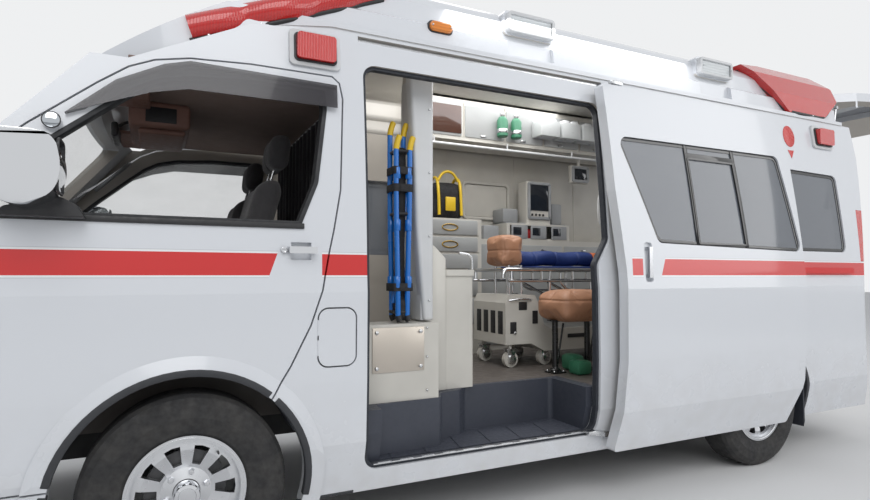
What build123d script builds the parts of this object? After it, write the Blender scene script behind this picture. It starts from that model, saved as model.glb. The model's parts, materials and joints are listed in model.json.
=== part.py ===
from build123d import *
import os

# An ambulance on a high-roof van, in millimetres, +Z up, standing on Z 0.
# Places along it count from the front axle, rearward, and heights from the ground.
# Its left is the kerb side with the open sliding door, at negative Y.

# Wheels
WHEELBASE = 3110
FRONT_TRACK = 1655
REAR_TRACK = 1650
TYRE_RADIUS = 346.5
TYRE_WIDTH = 195
RIM_RADIUS = 190
RIM_WIDTH = 166
RIM_LIP = 12
RIM_WINDOWS = 10
HUB_RADIUS = 46
FRONT_ARCH_RADIUS = 420
REAR_ARCH_RADIUS = 410
KINGPIN_INSET = 70

# Body
FRONT_OVERHANG = 1120
BODY_REAR = 4290
HALF_WIDTH = 944
SILL_HALF = 880
FLARE_HALF = 958
LINER_NEAR = 700
LINER_WALL = 5
LINER_RISE = 170
CREASE_HALF = 936
GUTTER_HALF = 846
SILL_Z = 240
CREASE_Z = 455
SWAGE_Z = 1050
GUTTER_Z = 2150
WALL = 60
SHUT_LINE = 7
FIT = 0.4
BUMPER_Z = 620
PLATE_HOLES = 210
PLATE_HOLE_Z = 540
PLATE_HOLE_RADIUS = 3.5
BUMPER_SIDE_Z = 423
LAMP_REAR_X = -770
COWL_X = -1040
COWL_Z = 1135
SCREEN_RAKE = 0.86
SCREEN_BOW = 51
SCREEN_TOP_Z = 1885
NOSE_SPLIT_X = 622
REAR_SPLIT_X = 4110

# Front doors
DOOR_FRONT_X = -730
DOOR_NEAR = 745
DOOR_SWING_GAP = 5
DOOR_REAR_X = 556
DOOR_LOW_Z = 430
DOOR_TOP_Z = 1928
BELT_Z = 1310
FRAME_BAR = 62
HANDLE_Z = 1200
HANDLE_X = 336
MIRROR_FAR = 1135
CORNER_MIRROR_X = -430
CORNER_MIRROR_Z = 1625
BONNET_LOW_Z = 908
BONNET_TOP_Z = 1060
BONNET_HALF = 660
LID_THICK = 14
LID_FRONT_X = 452
LID_LOW_Z = 758
LID_LENGTH = 160
LID_HEIGHT = 234
LID_CORNER = 38
BARREL = 3
BARREL_PIN = 1.5

# Sliding door and its opening
OPENING_FRONT_X = 655
OPENING_REAR_LOW_X = 1866
OPENING_REAR_HIGH_X = 1948
OPENING_LOW_Z = 330
OPENING_TOP_Z = 2010
OPENING_CORNER = 60
WINDOW_CORNER = 45
SCREEN_CORNER = 60
PANEL_CORNER = 18
SEAL = 14
RAIL_SLOT_Y = 820
PANEL_HANDLE_X = 2092
POCKET_DEPTH = 28
DOOR_LAP = 32
SLIDE_TRAVEL = 1330
SLIDE_OUT = 103
DOOR_PANEL_LOW_Z = 258

# Tailgate
GATE_HINGE_X = 4140
GATE_HINGE_Z = 2335
GATE_LOW_Z = 520
GATE_HALF = 800
GATE_SWING = 91
HINGE_Y = 480
HINGE_PIN = 7

# Gas struts, from the rear pillars to the tailgate, with their upper ends where they sit when it is shut
STRUT_Y = 740
STRUT_FOOT_X = 4128
STRUT_FOOT_Z = 1600
STRUT_TOP_X = 4128
STRUT_TOP_Z = 2200
STRUT_TUBE = 370
STRUT_ROD = 430

# High roof
ROOF_TOP_Z = 2490
ROOF_REAR_X = 4130
ROOF_WALL = 45
FLOOD_LAMPS = (1433, 2790)
FLOOD_LENGTH = 256
FLASHERS = (372, 3785)
FLASHER_FAR = 908

# Cab and patient room
FLOOR_Z = 560
FLOOR_THICK = 40
SEAT_BOX_Z = 820
SEAT_BOX_FRONT = -455
SEAT_BOX_REAR = 560
STEP_Y = -560
STEP_Z = 345
DRIVER_Y = 370
BULKHEAD_X = 1060
BULKHEAD_THICK = 104
BULKHEAD_TOP_Z = 2190
CUPBOARD_Y = 430
LEDGE_Z = 1390
LOCKER_Z = 2085
BASE_Z = 785
COT_X = 1740
COT_LENGTH = 1900
COT_Y = -40
COT_TUBE_Z = 1150
ROLL = 54
CASTER = 48

# Running gear
RAIL_Y = 425
RAIL_Z = 445
RAIL_FRONT_X = -900
RAIL_REAR_X = 4130
SPRING_Y = 510
SHAFT_Z = 405
SPRING_HALF = 600
PIN_RADIUS = 11
EYE_RADIUS = 20
EYE_THICK = 20

AXLE_X = -(GATE_HINGE_X + GATE_HINGE_Z - GATE_LOW_Z - FRONT_OVERHANG) / 2
SIDE = Plane(origin=(AXLE_X, 0, 0), x_dir=(1, 0, 0), z_dir=(0, -1, 0))
CROSS = Plane(origin=(AXLE_X, 0, 0), x_dir=(0, 1, 0), z_dir=(1, 0, 0))
TOP = Plane(origin=(AXLE_X, 0, 0), x_dir=(1, 0, 0), z_dir=(0, 0, 1))
CROSS_BEAM = Plane(origin=(AXLE_X, 0, 0), x_dir=(1, 0, 0), z_dir=(0, 1, 0))
FAR = 3000

pieces = {}


def keep(label, part):
    """Keep a finished piece under its plain name."""
    part.label = label
    pieces[label] = part


def prism(plane, points, depth, mode=Mode.ADD, radius=0):
    """Extrude a straight-sided outline from its plane, its corners rounded."""
    with BuildSketch(plane) as face:
        Polygon(*points, align=None)
        if radius:
            fillet(face.vertices(), radius)
    extrude(face.sketch, amount=depth, mode=mode)


def block(x, y, z, mode=Mode.ADD, radius=0):
    """A block between pairs of limits, its upright edges rounded."""
    corners = [(x[0], y[0]), (x[1], y[0]), (x[1], y[1]), (x[0], y[1])]
    prism(TOP.offset(z[0]), corners, z[1] - z[0], mode, radius)


def limits(side, near, far):
    """Limits in Y of something between two distances from the middle, on one side."""
    return (near, far) if side > 0 else (-far, -near)


def rod(plane, at, radius, depth, mode=Mode.ADD):
    """A round bar from its plane."""
    with BuildSketch(plane) as face:
        with Locations(at):
            Circle(radius)
    extrude(face.sketch, amount=depth, mode=mode)


def body_form(inset):
    """The van's outer form below the high roof, drawn in by inset."""
    with BuildPart() as form:
        with BuildSketch(SIDE):
            Polygon((-1085, SILL_Z), (-FRONT_OVERHANG, 400), (-FRONT_OVERHANG, 560), (-1112, 650),
                    (-1100, 880), (COWL_X - 44, COWL_Z - 170), (COWL_X + 484, COWL_Z + 1870),
                    (4215, COWL_Z + 1870), (4215, 2300), (4250, 1900), (BODY_REAR, 1200), (BODY_REAR, 600),
                    (4270, SILL_Z), (4270, -FAR), (-1085, -FAR), align=None)
            offset(amount=-inset, kind=Kind.INTERSECTION)
        extrude(amount=FAR, both=True)
        with BuildSketch(CROSS.offset(-2000)):
            with BuildLine():
                Polyline((0, -FAR), (SILL_HALF, -FAR), (SILL_HALF, SILL_Z), (CREASE_HALF, CREASE_Z),
                         (HALF_WIDTH, 700), (HALF_WIDTH, SWAGE_Z), (HALF_WIDTH - 6, SWAGE_Z + 70))
                ThreePointArc((HALF_WIDTH - 6, SWAGE_Z + 70), (HALF_WIDTH - 34, 1570),
                              (GUTTER_HALF, GUTTER_Z))
                Polyline((GUTTER_HALF, GUTTER_Z), (GUTTER_HALF, FAR), (0, FAR), (0, -FAR))
            make_face()
            mirror(about=Plane.YZ)
            offset(amount=-inset, kind=Kind.INTERSECTION)
        extrude(amount=7000, mode=Mode.INTERSECT)
        with BuildSketch(TOP):
            with BuildLine():
                ThreePointArc((-1040, 640), (-FRONT_OVERHANG, 0), (-1040, -640))
                ThreePointArc((-1040, -640), (-844, 82 - HALF_WIDTH), (-560, -HALF_WIDTH))
                Line((-560, -HALF_WIDTH), (4100, -HALF_WIDTH))
                ThreePointArc((4100, -HALF_WIDTH), (4215, 29 - HALF_WIDTH), (4262, 144 - HALF_WIDTH))
                ThreePointArc((4262, 144 - HALF_WIDTH), (BODY_REAR, 0), (4262, HALF_WIDTH - 144))
                ThreePointArc((4262, HALF_WIDTH - 144), (4215, HALF_WIDTH - 29), (4100, HALF_WIDTH))
                Line((4100, HALF_WIDTH), (-560, HALF_WIDTH))
                ThreePointArc((-560, HALF_WIDTH), (-844, HALF_WIDTH - 82), (-1040, 640))
            make_face()
            offset(amount=-inset)
        extrude(amount=FAR, both=True, mode=Mode.INTERSECT)
        low = -SCREEN_BOW - inset
        with BuildSketch(Plane((AXLE_X + COWL_X, 0, COWL_Z), x_dir=(0, 1, 0), z_dir=(SCREEN_RAKE, 0, 1))):
            with BuildLine():
                ThreePointArc((-900, low), (0, -inset), (900, low))
                Polyline((900, low), (1500, low), (1500, 1500), (-1500, 1500), (-1500, low), (-900, low))
            make_face()
        extrude(amount=FAR, both=True, mode=Mode.SUBTRACT)
    return form.part


def roof_form(inset):
    """The high roof's outer form with its stepped sides, drawn in by inset."""
    with BuildPart() as form:
        with BuildSketch(SIDE):
            with BuildLine():
                ThreePointArc((-395, SCREEN_TOP_Z), (377, ROOF_TOP_Z - 200), (1150, ROOF_TOP_Z - 12))
                Polyline((1150, ROOF_TOP_Z - 12), (1700, ROOF_TOP_Z), (3200, ROOF_TOP_Z))
                ThreePointArc((3200, ROOF_TOP_Z), (3700, ROOF_TOP_Z - 16), (ROOF_REAR_X, ROOF_TOP_Z - 84))
                Polyline((ROOF_REAR_X, ROOF_TOP_Z - 84), (ROOF_REAR_X, 0), (-395, 0), (-395, SCREEN_TOP_Z))
            make_face()
            offset(amount=-inset)
        extrude(amount=FAR, both=True)
        with BuildSketch(CROSS.offset(-2000)):
            with BuildLine():
                Polyline((0, 0), (GUTTER_HALF + 8, 0), (GUTTER_HALF + 8, ROOF_TOP_Z - 318),
                         (GUTTER_HALF - 32, ROOF_TOP_Z - 300), (GUTTER_HALF - 40, ROOF_TOP_Z - 222),
                         (GUTTER_HALF - 66, ROOF_TOP_Z - 204), (GUTTER_HALF - 78, ROOF_TOP_Z - 115))
                ThreePointArc((GUTTER_HALF - 78, ROOF_TOP_Z - 115), (GUTTER_HALF - 131, ROOF_TOP_Z - 52),
                              (GUTTER_HALF - 246, ROOF_TOP_Z - 18))
                ThreePointArc((GUTTER_HALF - 246, ROOF_TOP_Z - 18), (300, ROOF_TOP_Z - 4), (0, ROOF_TOP_Z))
                Line((0, ROOF_TOP_Z), (0, 0))
            make_face()
            mirror(about=Plane.YZ)
            offset(amount=-inset)
        extrude(amount=7000, mode=Mode.INTERSECT)
        with BuildSketch(TOP):
            with BuildLine():
                ThreePointArc((-340, 700), (-400, 0), (-340, -700))
                ThreePointArc((-340, -700), (60, 24 - GUTTER_HALF), (525, -GUTTER_HALF - 8))
                Polyline((525, -GUTTER_HALF - 8), (5000, -GUTTER_HALF - 8), (5000, GUTTER_HALF + 8),
                         (525, GUTTER_HALF + 8))
                ThreePointArc((525, GUTTER_HALF + 8), (60, GUTTER_HALF - 24), (-340, 700))
            make_face()
            offset(amount=-inset)
        extrude(amount=FAR, mode=Mode.INTERSECT)
    return form.part


def mirrored(points):
    """A front-view outline on the other side."""
    return [(-y, z) for y, z in points]


def rectangle(x, z):
    """Corners of an upright rectangle from its limits."""
    return [(x[0], z[0]), (x[1], z[0]), (x[1], z[1]), (x[0], z[1])]


ROOF_LINE = [(-700, SCREEN_TOP_Z), (-215, SCREEN_TOP_Z), (202, 2099), (525, GUTTER_Z), (5000, GUTTER_Z)]
ABOVE_ROOF_LINE = ROOF_LINE + [(5000, FAR), (-700, FAR)]

# Outlines in side view, from the front axle and the ground
FRONT_DOOR = [(DOOR_FRONT_X, DOOR_LOW_Z), (DOOR_FRONT_X, 1370), (-500, 1608),
              (-302, 1779), (-211, 1850), (-130, 1888), (-14, 1914), (201, DOOR_TOP_Z), (520, DOOR_TOP_Z),
              (DOOR_REAR_X - 8, 1905), (DOOR_REAR_X + 4, 1841), (DOOR_REAR_X - 12, 1459),
              (DOOR_REAR_X - 41, 1296), (DOOR_REAR_X - 60, 1209), (DOOR_REAR_X - 87, 1060),
              (DOOR_REAR_X - 132, 926), (DOOR_REAR_X - 207, 775), (DOOR_REAR_X - 290, 640),
              (DOOR_REAR_X - 290, DOOR_LOW_Z)]
FRONT_DOOR_WINDOW = [(-655, BELT_Z), (-655, 1372), (-455, 1560), (-285, 1706), (-195, 1780), (-118, 1822),
                     (-10, 1848), (201, DOOR_TOP_Z - FRAME_BAR), (490, DOOR_TOP_Z - FRAME_BAR),
                     (DOOR_REAR_X - 60, 1790), (DOOR_REAR_X - 100, 1480), (DOOR_REAR_X - 168, BELT_Z)]
HANDLE_RECESS = [(HANDLE_X + 14, HANDLE_Z - 24), (HANDLE_X + 92, HANDLE_Z - 24), (HANDLE_X + 92, HANDLE_Z + 44),
                 (HANDLE_X + 14, HANDLE_Z + 44)]
MIRROR_HEAD = [(-610, 1372), (-480, 1316), (-385, 1360), (-370, 1440), (-395, 1530), (-430, 1548), (-590, 1548),
               (-625, 1500)]
MIRROR_FOOT = [(-560, 1300), (-320, 1300), (-345, 1345), (-400, 1372), (-470, 1350), (-540, 1330)]
VISOR = [(-395, 1655), (-145, 1759), (-20, 1790), (534, 1793), (534, 1888), (-14, 1898), (-100, 1872),
         (-250, 1790)]
OPENING = [(OPENING_FRONT_X, OPENING_LOW_Z), (OPENING_REAR_LOW_X, OPENING_LOW_Z), (OPENING_REAR_LOW_X, 1169),
           (OPENING_REAR_HIGH_X, 1295), (OPENING_REAR_HIGH_X, OPENING_TOP_Z), (OPENING_FRONT_X, OPENING_TOP_Z)]
RAIL_SLOT = rectangle((OPENING_FRONT_X - 17, OPENING_REAR_HIGH_X + 30), (OPENING_TOP_Z + 98, OPENING_TOP_Z + 122))
HANDLE_POCKET = rectangle((PANEL_HANDLE_X - 18, PANEL_HANDLE_X + 34), (1084, 1282))
PANEL_FRONT = OPENING_FRONT_X - DOOR_LAP + SLIDE_TRAVEL
PANEL_REAR = OPENING_REAR_HIGH_X + 92 + SLIDE_TRAVEL
SLIDING_PANEL = [(PANEL_FRONT - 52, DOOR_PANEL_LOW_Z), (PANEL_FRONT - 5, 700), (PANEL_FRONT, 1130),
                 (PANEL_FRONT - 45, 1540), (PANEL_FRONT - 68, 2085), (PANEL_REAR - 160, 2082),
                 (PANEL_REAR - 60, 1846), (PANEL_REAR, 1119), (PANEL_REAR - 38, 502),
                 (PANEL_REAR - 144, DOOR_PANEL_LOW_Z)]
SLIDING_WINDOW = [(PANEL_FRONT - 10, 1817), (PANEL_FRONT + 223, 1281), (PANEL_REAR - 23, 1256),
                  (PANEL_REAR - 168, 1825)]
SIDE_WINDOW = [(2130, 1268), (2130, 1815), (3965, 1780), (3995, 1268)]
FRONT_SIDE_WINDOW = [(720, 1268), (720, 1815), (1930, 1815), (1930, 1268)]
BUMPER_SIDE = [(-FAR, 0), (-340, 0), (-340, BUMPER_SIDE_Z), (DOOR_FRONT_X, BUMPER_SIDE_Z),
               (DOOR_FRONT_X, BUMPER_Z), (-FAR, BUMPER_Z)]

# The tread of the step well in plan view
TREAD = [(OPENING_FRONT_X + 90, -1400), (OPENING_FRONT_X + 90, -790), (1070, -775), (1110, -690),
         (1230, -660), (1290, STEP_Y - 35), (OPENING_REAR_LOW_X - 40, STEP_Y - 35),
         (OPENING_REAR_LOW_X - 40, -1400)]

# Outlines in front or rear view, from the middle and the ground
SCREEN = [(-745, 1172), (-660, 1842), (660, 1842), (745, 1172)]
HEADLAMP = [(585, 672), (575, 858), (900, 968), (FLARE_HALF + 60, 780), (800, 650)]
GRILLE = [(-560, 690), (-560, 880), (560, 880), (560, 690)]
GATE = [(-GATE_HALF, 2050), (-GATE_HALF - 5, 1300), (-GATE_HALF + 10, GATE_LOW_Z), (GATE_HALF - 10, GATE_LOW_Z),
        (GATE_HALF + 5, 1300), (GATE_HALF, 2050), (GATE_HALF - 70, GATE_HINGE_Z - 12),
        (-GATE_HALF + 70, GATE_HINGE_Z - 12)]
GATE_WINDOW = [(-690, 1280), (-700, 1880), (700, 1880), (690, 1280)]
CORNER_LAMP = [(3230, ROOF_TOP_Z - 20), (3570, ROOF_TOP_Z - 312), (3960, ROOF_TOP_Z - 300),
               (ROOF_REAR_X - 12, ROOF_TOP_Z - 170), (ROOF_REAR_X - 20, ROOF_TOP_Z - 80),
               (3960, ROOF_TOP_Z + 24), (3480, ROOF_TOP_Z + 12)]
CORNER_LAMP_END = [(GUTTER_HALF + 2, ROOF_TOP_Z - 320), (GUTTER_HALF - 8, ROOF_TOP_Z - 190),
                   (GUTTER_HALF - 50, ROOF_TOP_Z - 70), (GUTTER_HALF - 120, ROOF_TOP_Z + 6),
                   (GUTTER_HALF - 290, ROOF_TOP_Z + 25), (GUTTER_HALF - 290, ROOF_TOP_Z - 320)]
TAIL_LAMP = [(GATE_HALF + 18, 1210), (GATE_HALF + 18, 1560), (FLARE_HALF + 60, 1560), (FLARE_HALF + 60, 1210)]

# Flares round the wheel arches, turned about each axle, that stand out evenly from the side walls
with BuildPart() as flares:
    for hub_x, arch in ((0, FRONT_ARCH_RADIUS), (WHEELBASE, REAR_ARCH_RADIUS)):
        with BuildSketch(CROSS.offset(hub_x)):
            for side in (-1, 1):
                Polygon((side * SILL_HALF, TYRE_RADIUS + arch - 20), (side * FLARE_HALF, TYRE_RADIUS + arch - 20),
                        (side * FLARE_HALF, TYRE_RADIUS + arch + 18),
                        (side * (HALF_WIDTH - 1), TYRE_RADIUS + arch + 70),
                        (side * SILL_HALF, TYRE_RADIUS + arch + 70), align=None)
        revolve(axis=Axis((AXLE_X + hub_x, 0, TYRE_RADIUS), (0, 1, 0)))
    add(body_form(HALF_WIDTH - FLARE_HALF), mode=Mode.INTERSECT)
with BuildPart() as shell:
    add(body_form(0))
    add(flares.part)
    add(body_form(WALL), mode=Mode.SUBTRACT)
    block((-FAR, 2 * FAR), (-FAR, FAR), (-2 * FAR, SILL_Z), mode=Mode.SUBTRACT)
    prism(SIDE.offset(-FAR), ABOVE_ROOF_LINE, 2 * FAR, mode=Mode.SUBTRACT)

with BuildPart() as glass_skin:
    add(body_form(12))
    add(body_form(18), mode=Mode.SUBTRACT)


with BuildPart() as room:
    add(body_form(WALL + FIT))
floor_limit = room.part


def drawn_in(points, amount):
    """A straight-sided outline drawn in, or out where the amount is negative."""
    with BuildSketch() as face:
        Polygon(*points, align=None)
        offset(amount=-amount, kind=Kind.INTERSECTION)
    edges = face.sketch.faces()[0].outer_wire().order_edges()
    return [(edge.position_at(0).X, edge.position_at(0).Y) for edge in edges]


def across(points, mode=Mode.ADD, radius=0):
    """A side-view outline run through the whole width."""
    prism(SIDE.offset(-FAR), points, 2 * FAR, mode, radius)


def along(points, x0, x1, mode=Mode.ADD, radius=0):
    """A front-view outline run between two places along the vehicle."""
    prism(CROSS.offset(x0), points, x1 - x0, mode, radius)


def one_side(side, points, near=500, far=1500, mode=Mode.ADD, radius=0):
    """A side-view outline run through one side only."""
    plane = SIDE.offset(-far) if side > 0 else SIDE.offset(near)
    prism(plane, points, far - near, mode, radius)


def wheel_hole(x, radius, mode=Mode.SUBTRACT):
    """A round hole through both sides at an axle."""
    rod(SIDE.offset(-FAR), (x, TYRE_RADIUS), radius, 2 * FAR, mode)


def pane(label, sides, radius=0):
    """Glass that fills window outlines with a running fit."""
    with BuildPart() as windows:
        for kind, points, side in sides:
            fitted = drawn_in(points, FIT)
            if kind == "side":
                one_side(side, fitted, near=DOOR_NEAR, radius=radius)
            else:
                along(fitted, *side, radius=radius)
    with BuildPart() as glass:
        add(glass_skin.part)
        add(windows.part, mode=Mode.INTERSECT)
    keep(label, glass.part)


def barrels(plane, at, starts, web, carried):
    """Small hinges in a shut line, each 60 long from its start along the axis. The carrier has the
    middle barrel and the pin, and the lid that it carries a barrel at each end; a web joins each to
    its own edge."""
    for start in starts:
        spans = ((0, 20), (40, 60)) if carried else ((20.3, 39.7),)
        for low, high in spans:
            with BuildSketch(plane.offset(start + low)) as leaf:
                with Locations((at[0] + web[0] / 2, at[1] + web[1] / 2)):
                    Rectangle(max(abs(web[0]), BARREL), max(abs(web[1]), BARREL))
                with Locations(at):
                    Circle(BARREL)
                    if carried:
                        Circle(BARREL_PIN + 0.3, mode=Mode.SUBTRACT)
            extrude(leaf.sketch, amount=high - low)
        if not carried:
            rod(plane.offset(start), at, BARREL_PIN, 60)


DOOR_HOLE = drawn_in(FRONT_DOOR, -SHUT_LINE)
BONNET = [(-BONNET_HALF, BONNET_LOW_Z), (-BONNET_HALF, BONNET_TOP_Z), (BONNET_HALF, BONNET_TOP_Z),
          (BONNET_HALF, BONNET_LOW_Z)]
FUEL_HOLE = rectangle((LID_FRONT_X, LID_FRONT_X + LID_LENGTH), (LID_LOW_Z, LID_LOW_Z + LID_HEIGHT))
FUEL_LID = rectangle((LID_FRONT_X + 6, LID_FRONT_X + LID_LENGTH - 6), (LID_LOW_Z + 6, LID_LOW_Z + LID_HEIGHT - 6))

# Hinge places in plan or side view: where the outer skin meets the shut line
DOOR_HINGE_X = DOOR_FRONT_X - SHUT_LINE / 2
DOOR_HINGE_Y = HALF_WIDTH - 28.9
LID_HINGE_X = LID_FRONT_X + 3
BONNET_HINGE_X = COWL_X - 18
BONNET_HINGE_Z = BONNET_TOP_Z + SHUT_LINE / 2
DOOR_BARRELS = (660, 1090)
LID_BARRELS = (LID_LOW_Z + 48, LID_LOW_Z + 126)
BONNET_BARRELS = (-430, 370)
GATE_HOLE = drawn_in(GATE, -SHUT_LINE)

# The nose with its wings, cowl, windscreen frame and the frames round the front doors
with BuildPart() as nose_body:
    add(shell.part)
    block((-FAR, NOSE_SPLIT_X), (-FAR, FAR), (0, FAR), mode=Mode.INTERSECT)
    across(BUMPER_SIDE, mode=Mode.SUBTRACT)
    for side in (-1, 1):
        one_side(side, DOOR_HOLE, near=DOOR_NEAR, mode=Mode.SUBTRACT)
    wheel_hole(0, FRONT_ARCH_RADIUS)
    along(SCREEN, -1200, -100, mode=Mode.SUBTRACT, radius=SCREEN_CORNER)
    along(drawn_in(BONNET, -SHUT_LINE), -1300, -900, mode=Mode.SUBTRACT)
    along(GRILLE, -1300, -900, mode=Mode.SUBTRACT)
    along(HEADLAMP, -1300, LAMP_REAR_X, mode=Mode.SUBTRACT)
    along(mirrored(HEADLAMP), -1300, LAMP_REAR_X, mode=Mode.SUBTRACT)
    prism(SIDE.offset(HALF_WIDTH - 48), FUEL_HOLE, 100, Mode.SUBTRACT, radius=LID_CORNER + 6)
    for side in (-1, 1):
        barrels(TOP, (DOOR_HINGE_X, side * DOOR_HINGE_Y), DOOR_BARRELS, (-5, -side * 1), False)
    barrels(TOP, (LID_HINGE_X, 1 - HALF_WIDTH), LID_BARRELS, (-5, 3), False)
    barrels(CROSS_BEAM, (BONNET_HINGE_X, -BONNET_HINGE_Z), BONNET_BARRELS, (1, -5), False)
    rod(SIDE.offset(HALF_WIDTH - 50), (LID_FRONT_X + LID_LENGTH / 2, LID_LOW_Z + LID_HEIGHT / 2), 34, 22)
keep("nose_body", nose_body.part)

with BuildPart() as lid_skin:
    add(body_form(0))
    add(body_form(LID_THICK), mode=Mode.SUBTRACT)
with BuildPart() as bonnet:
    add(lid_skin.part)
    along(BONNET, -1300, -900, mode=Mode.INTERSECT)
    barrels(CROSS_BEAM, (BONNET_HINGE_X, -BONNET_HINGE_Z), BONNET_BARRELS, (1, 5), True)
keep("bonnet", bonnet.part)

with BuildPart() as fuel_lid:
    prism(SIDE.offset(500), FUEL_LID, 700, radius=LID_CORNER)
    add(lid_skin.part, mode=Mode.INTERSECT)
    barrels(TOP, (LID_HINGE_X, 1 - HALF_WIDTH), LID_BARRELS, (5, 3), True)
keep("fuel_lid", fuel_lid.part)

with BuildPart() as grille:
    add(shell.part)
    along(drawn_in(GRILLE, FIT), -1300, -900, mode=Mode.INTERSECT)
    for row in range(4):
        low = 708 + 43 * row
        along(rectangle((-530, 530), (low, low + 28)), -1300, -900, mode=Mode.SUBTRACT)
keep("grille", grille.part)

with BuildPart() as lamp_places:
    along(drawn_in(HEADLAMP, FIT), -1300, LAMP_REAR_X - FIT)
    along(drawn_in(mirrored(HEADLAMP), FIT), -1300, LAMP_REAR_X - FIT)
with BuildPart() as headlamps:
    add(shell.part)
    add(lamp_places.part, mode=Mode.INTERSECT)
keep("headlamps", headlamps.part)

# Side walls and the frame round the tailgate
for side, name in ((-1, "left_side"), (1, "right_side")):
    with BuildPart() as wall:
        add(shell.part)
        near, far = limits(side, 10, FAR)
        block((NOSE_SPLIT_X, REAR_SPLIT_X), (near, far), (0, FAR), mode=Mode.INTERSECT)
        wheel_hole(WHEELBASE, REAR_ARCH_RADIUS)
        across(SIDE_WINDOW, mode=Mode.SUBTRACT, radius=WINDOW_CORNER)
        if side < 0:
            across(OPENING, mode=Mode.SUBTRACT, radius=OPENING_CORNER)
            one_side(side, RAIL_SLOT, near=RAIL_SLOT_Y, mode=Mode.SUBTRACT)
        else:
            across(FRONT_SIDE_WINDOW, mode=Mode.SUBTRACT, radius=WINDOW_CORNER)
    keep(name, wall.part)

with BuildPart() as rear_frame:
    add(shell.part)
    block((REAR_SPLIT_X, BODY_REAR + 100), (-FAR, FAR), (0, FAR), mode=Mode.INTERSECT)
    along(GATE_HOLE, REAR_SPLIT_X, BODY_REAR + 100, mode=Mode.SUBTRACT)
    block((REAR_SPLIT_X, BODY_REAR + 100), (-FAR, FAR), (0, GATE_LOW_Z - SHUT_LINE), mode=Mode.SUBTRACT)
    along(TAIL_LAMP, REAR_SPLIT_X + 40, BODY_REAR + 100, mode=Mode.SUBTRACT)
    along(mirrored(TAIL_LAMP), REAR_SPLIT_X + 40, BODY_REAR + 100, mode=Mode.SUBTRACT)
    for side in (-1, 1):
        near, far = limits(side, STRUT_Y - 4, HALF_WIDTH - WALL)
        rod(SIDE.offset(-far), (STRUT_FOOT_X, STRUT_FOOT_Z), 7, far - near)
keep("rear_frame", rear_frame.part)

with BuildPart() as bumper_places:
    across(BUMPER_SIDE)
    block((REAR_SPLIT_X, BODY_REAR + 100), (-FAR, FAR), (0, GATE_LOW_Z - SHUT_LINE))
with BuildPart() as bumpers:
    add(shell.part)
    add(bumper_places.part, mode=Mode.INTERSECT)
    wheel_hole(0, FRONT_ARCH_RADIUS)
    for side in (-1, 1):
        one_side(side, DOOR_HOLE, near=DOOR_NEAR, mode=Mode.SUBTRACT)
    along(rectangle((-430, 430), (330, 450)), -1300, -900, mode=Mode.SUBTRACT)
    for y in (-PLATE_HOLES / 2, PLATE_HOLES / 2):
        rod(CROSS.offset(-1300), (y, PLATE_HOLE_Z), PLATE_HOLE_RADIUS, 400, mode=Mode.SUBTRACT)
    for side in (-1, 1):
        rod(CROSS.offset(-1300), (side * 660, 400), 55, 300, mode=Mode.SUBTRACT)
keep("bumpers", bumpers.part)

with BuildPart() as high_roof:
    add(roof_form(0))
    for side in (-1, 1):
        for x in FLOOD_LAMPS:
            near, far = limits(side, GUTTER_HALF - 64, FAR)
            block((x - 10, x + FLOOD_LENGTH + 10), (near, far), (ROOF_TOP_Z - 290, ROOF_TOP_Z - 150),
                  mode=Mode.SUBTRACT)
            near, far = limits(side, GUTTER_HALF - 140, GUTTER_HALF - 54)
            pad = rectangle((x - 24, x + FLOOD_LENGTH + 24), (ROOF_TOP_Z - 180, ROOF_TOP_Z - 58))
            prism(SIDE.offset(-far), pad, far - near, radius=24)
            near, far = limits(side, GUTTER_HALF - 66, GUTTER_HALF)
            block((x, x + FLOOD_LENGTH), (near, far), (ROOF_TOP_Z - 160, ROOF_TOP_Z - 80), mode=Mode.SUBTRACT)
    add(roof_form(ROOF_WALL), mode=Mode.SUBTRACT)
    across(ROOF_LINE + [(5000, -FAR), (-700, -FAR)], mode=Mode.SUBTRACT)
    along(drawn_in(GATE, -SHUT_LINE), ROOF_REAR_X - ROOF_WALL - 5, ROOF_REAR_X + 5, mode=Mode.SUBTRACT)
    for y in (-HINGE_Y, HINGE_Y):
        rod(SIDE.offset(-y - 32), (GATE_HINGE_X, GATE_HINGE_Z), 20, 64, mode=Mode.SUBTRACT)
        for ear in (y - 50, y + 31):
            block((ROOF_REAR_X - 10, GATE_HINGE_X + 8), (ear, ear + 19), (GATE_HINGE_Z - 12, GATE_HINGE_Z + 20))
        rod(SIDE.offset(-y - 40), (GATE_HINGE_X, GATE_HINGE_Z), HINGE_PIN, 80)
keep("high_roof", high_roof.part)

# Glass
pane("windscreen", [("front", SCREEN, (-1200, -100))], SCREEN_CORNER)
pane("side_windows", [("side", SIDE_WINDOW, -1), ("side", SIDE_WINDOW, 1), ("side", FRONT_SIDE_WINDOW, 1)],
     WINDOW_CORNER)

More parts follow.
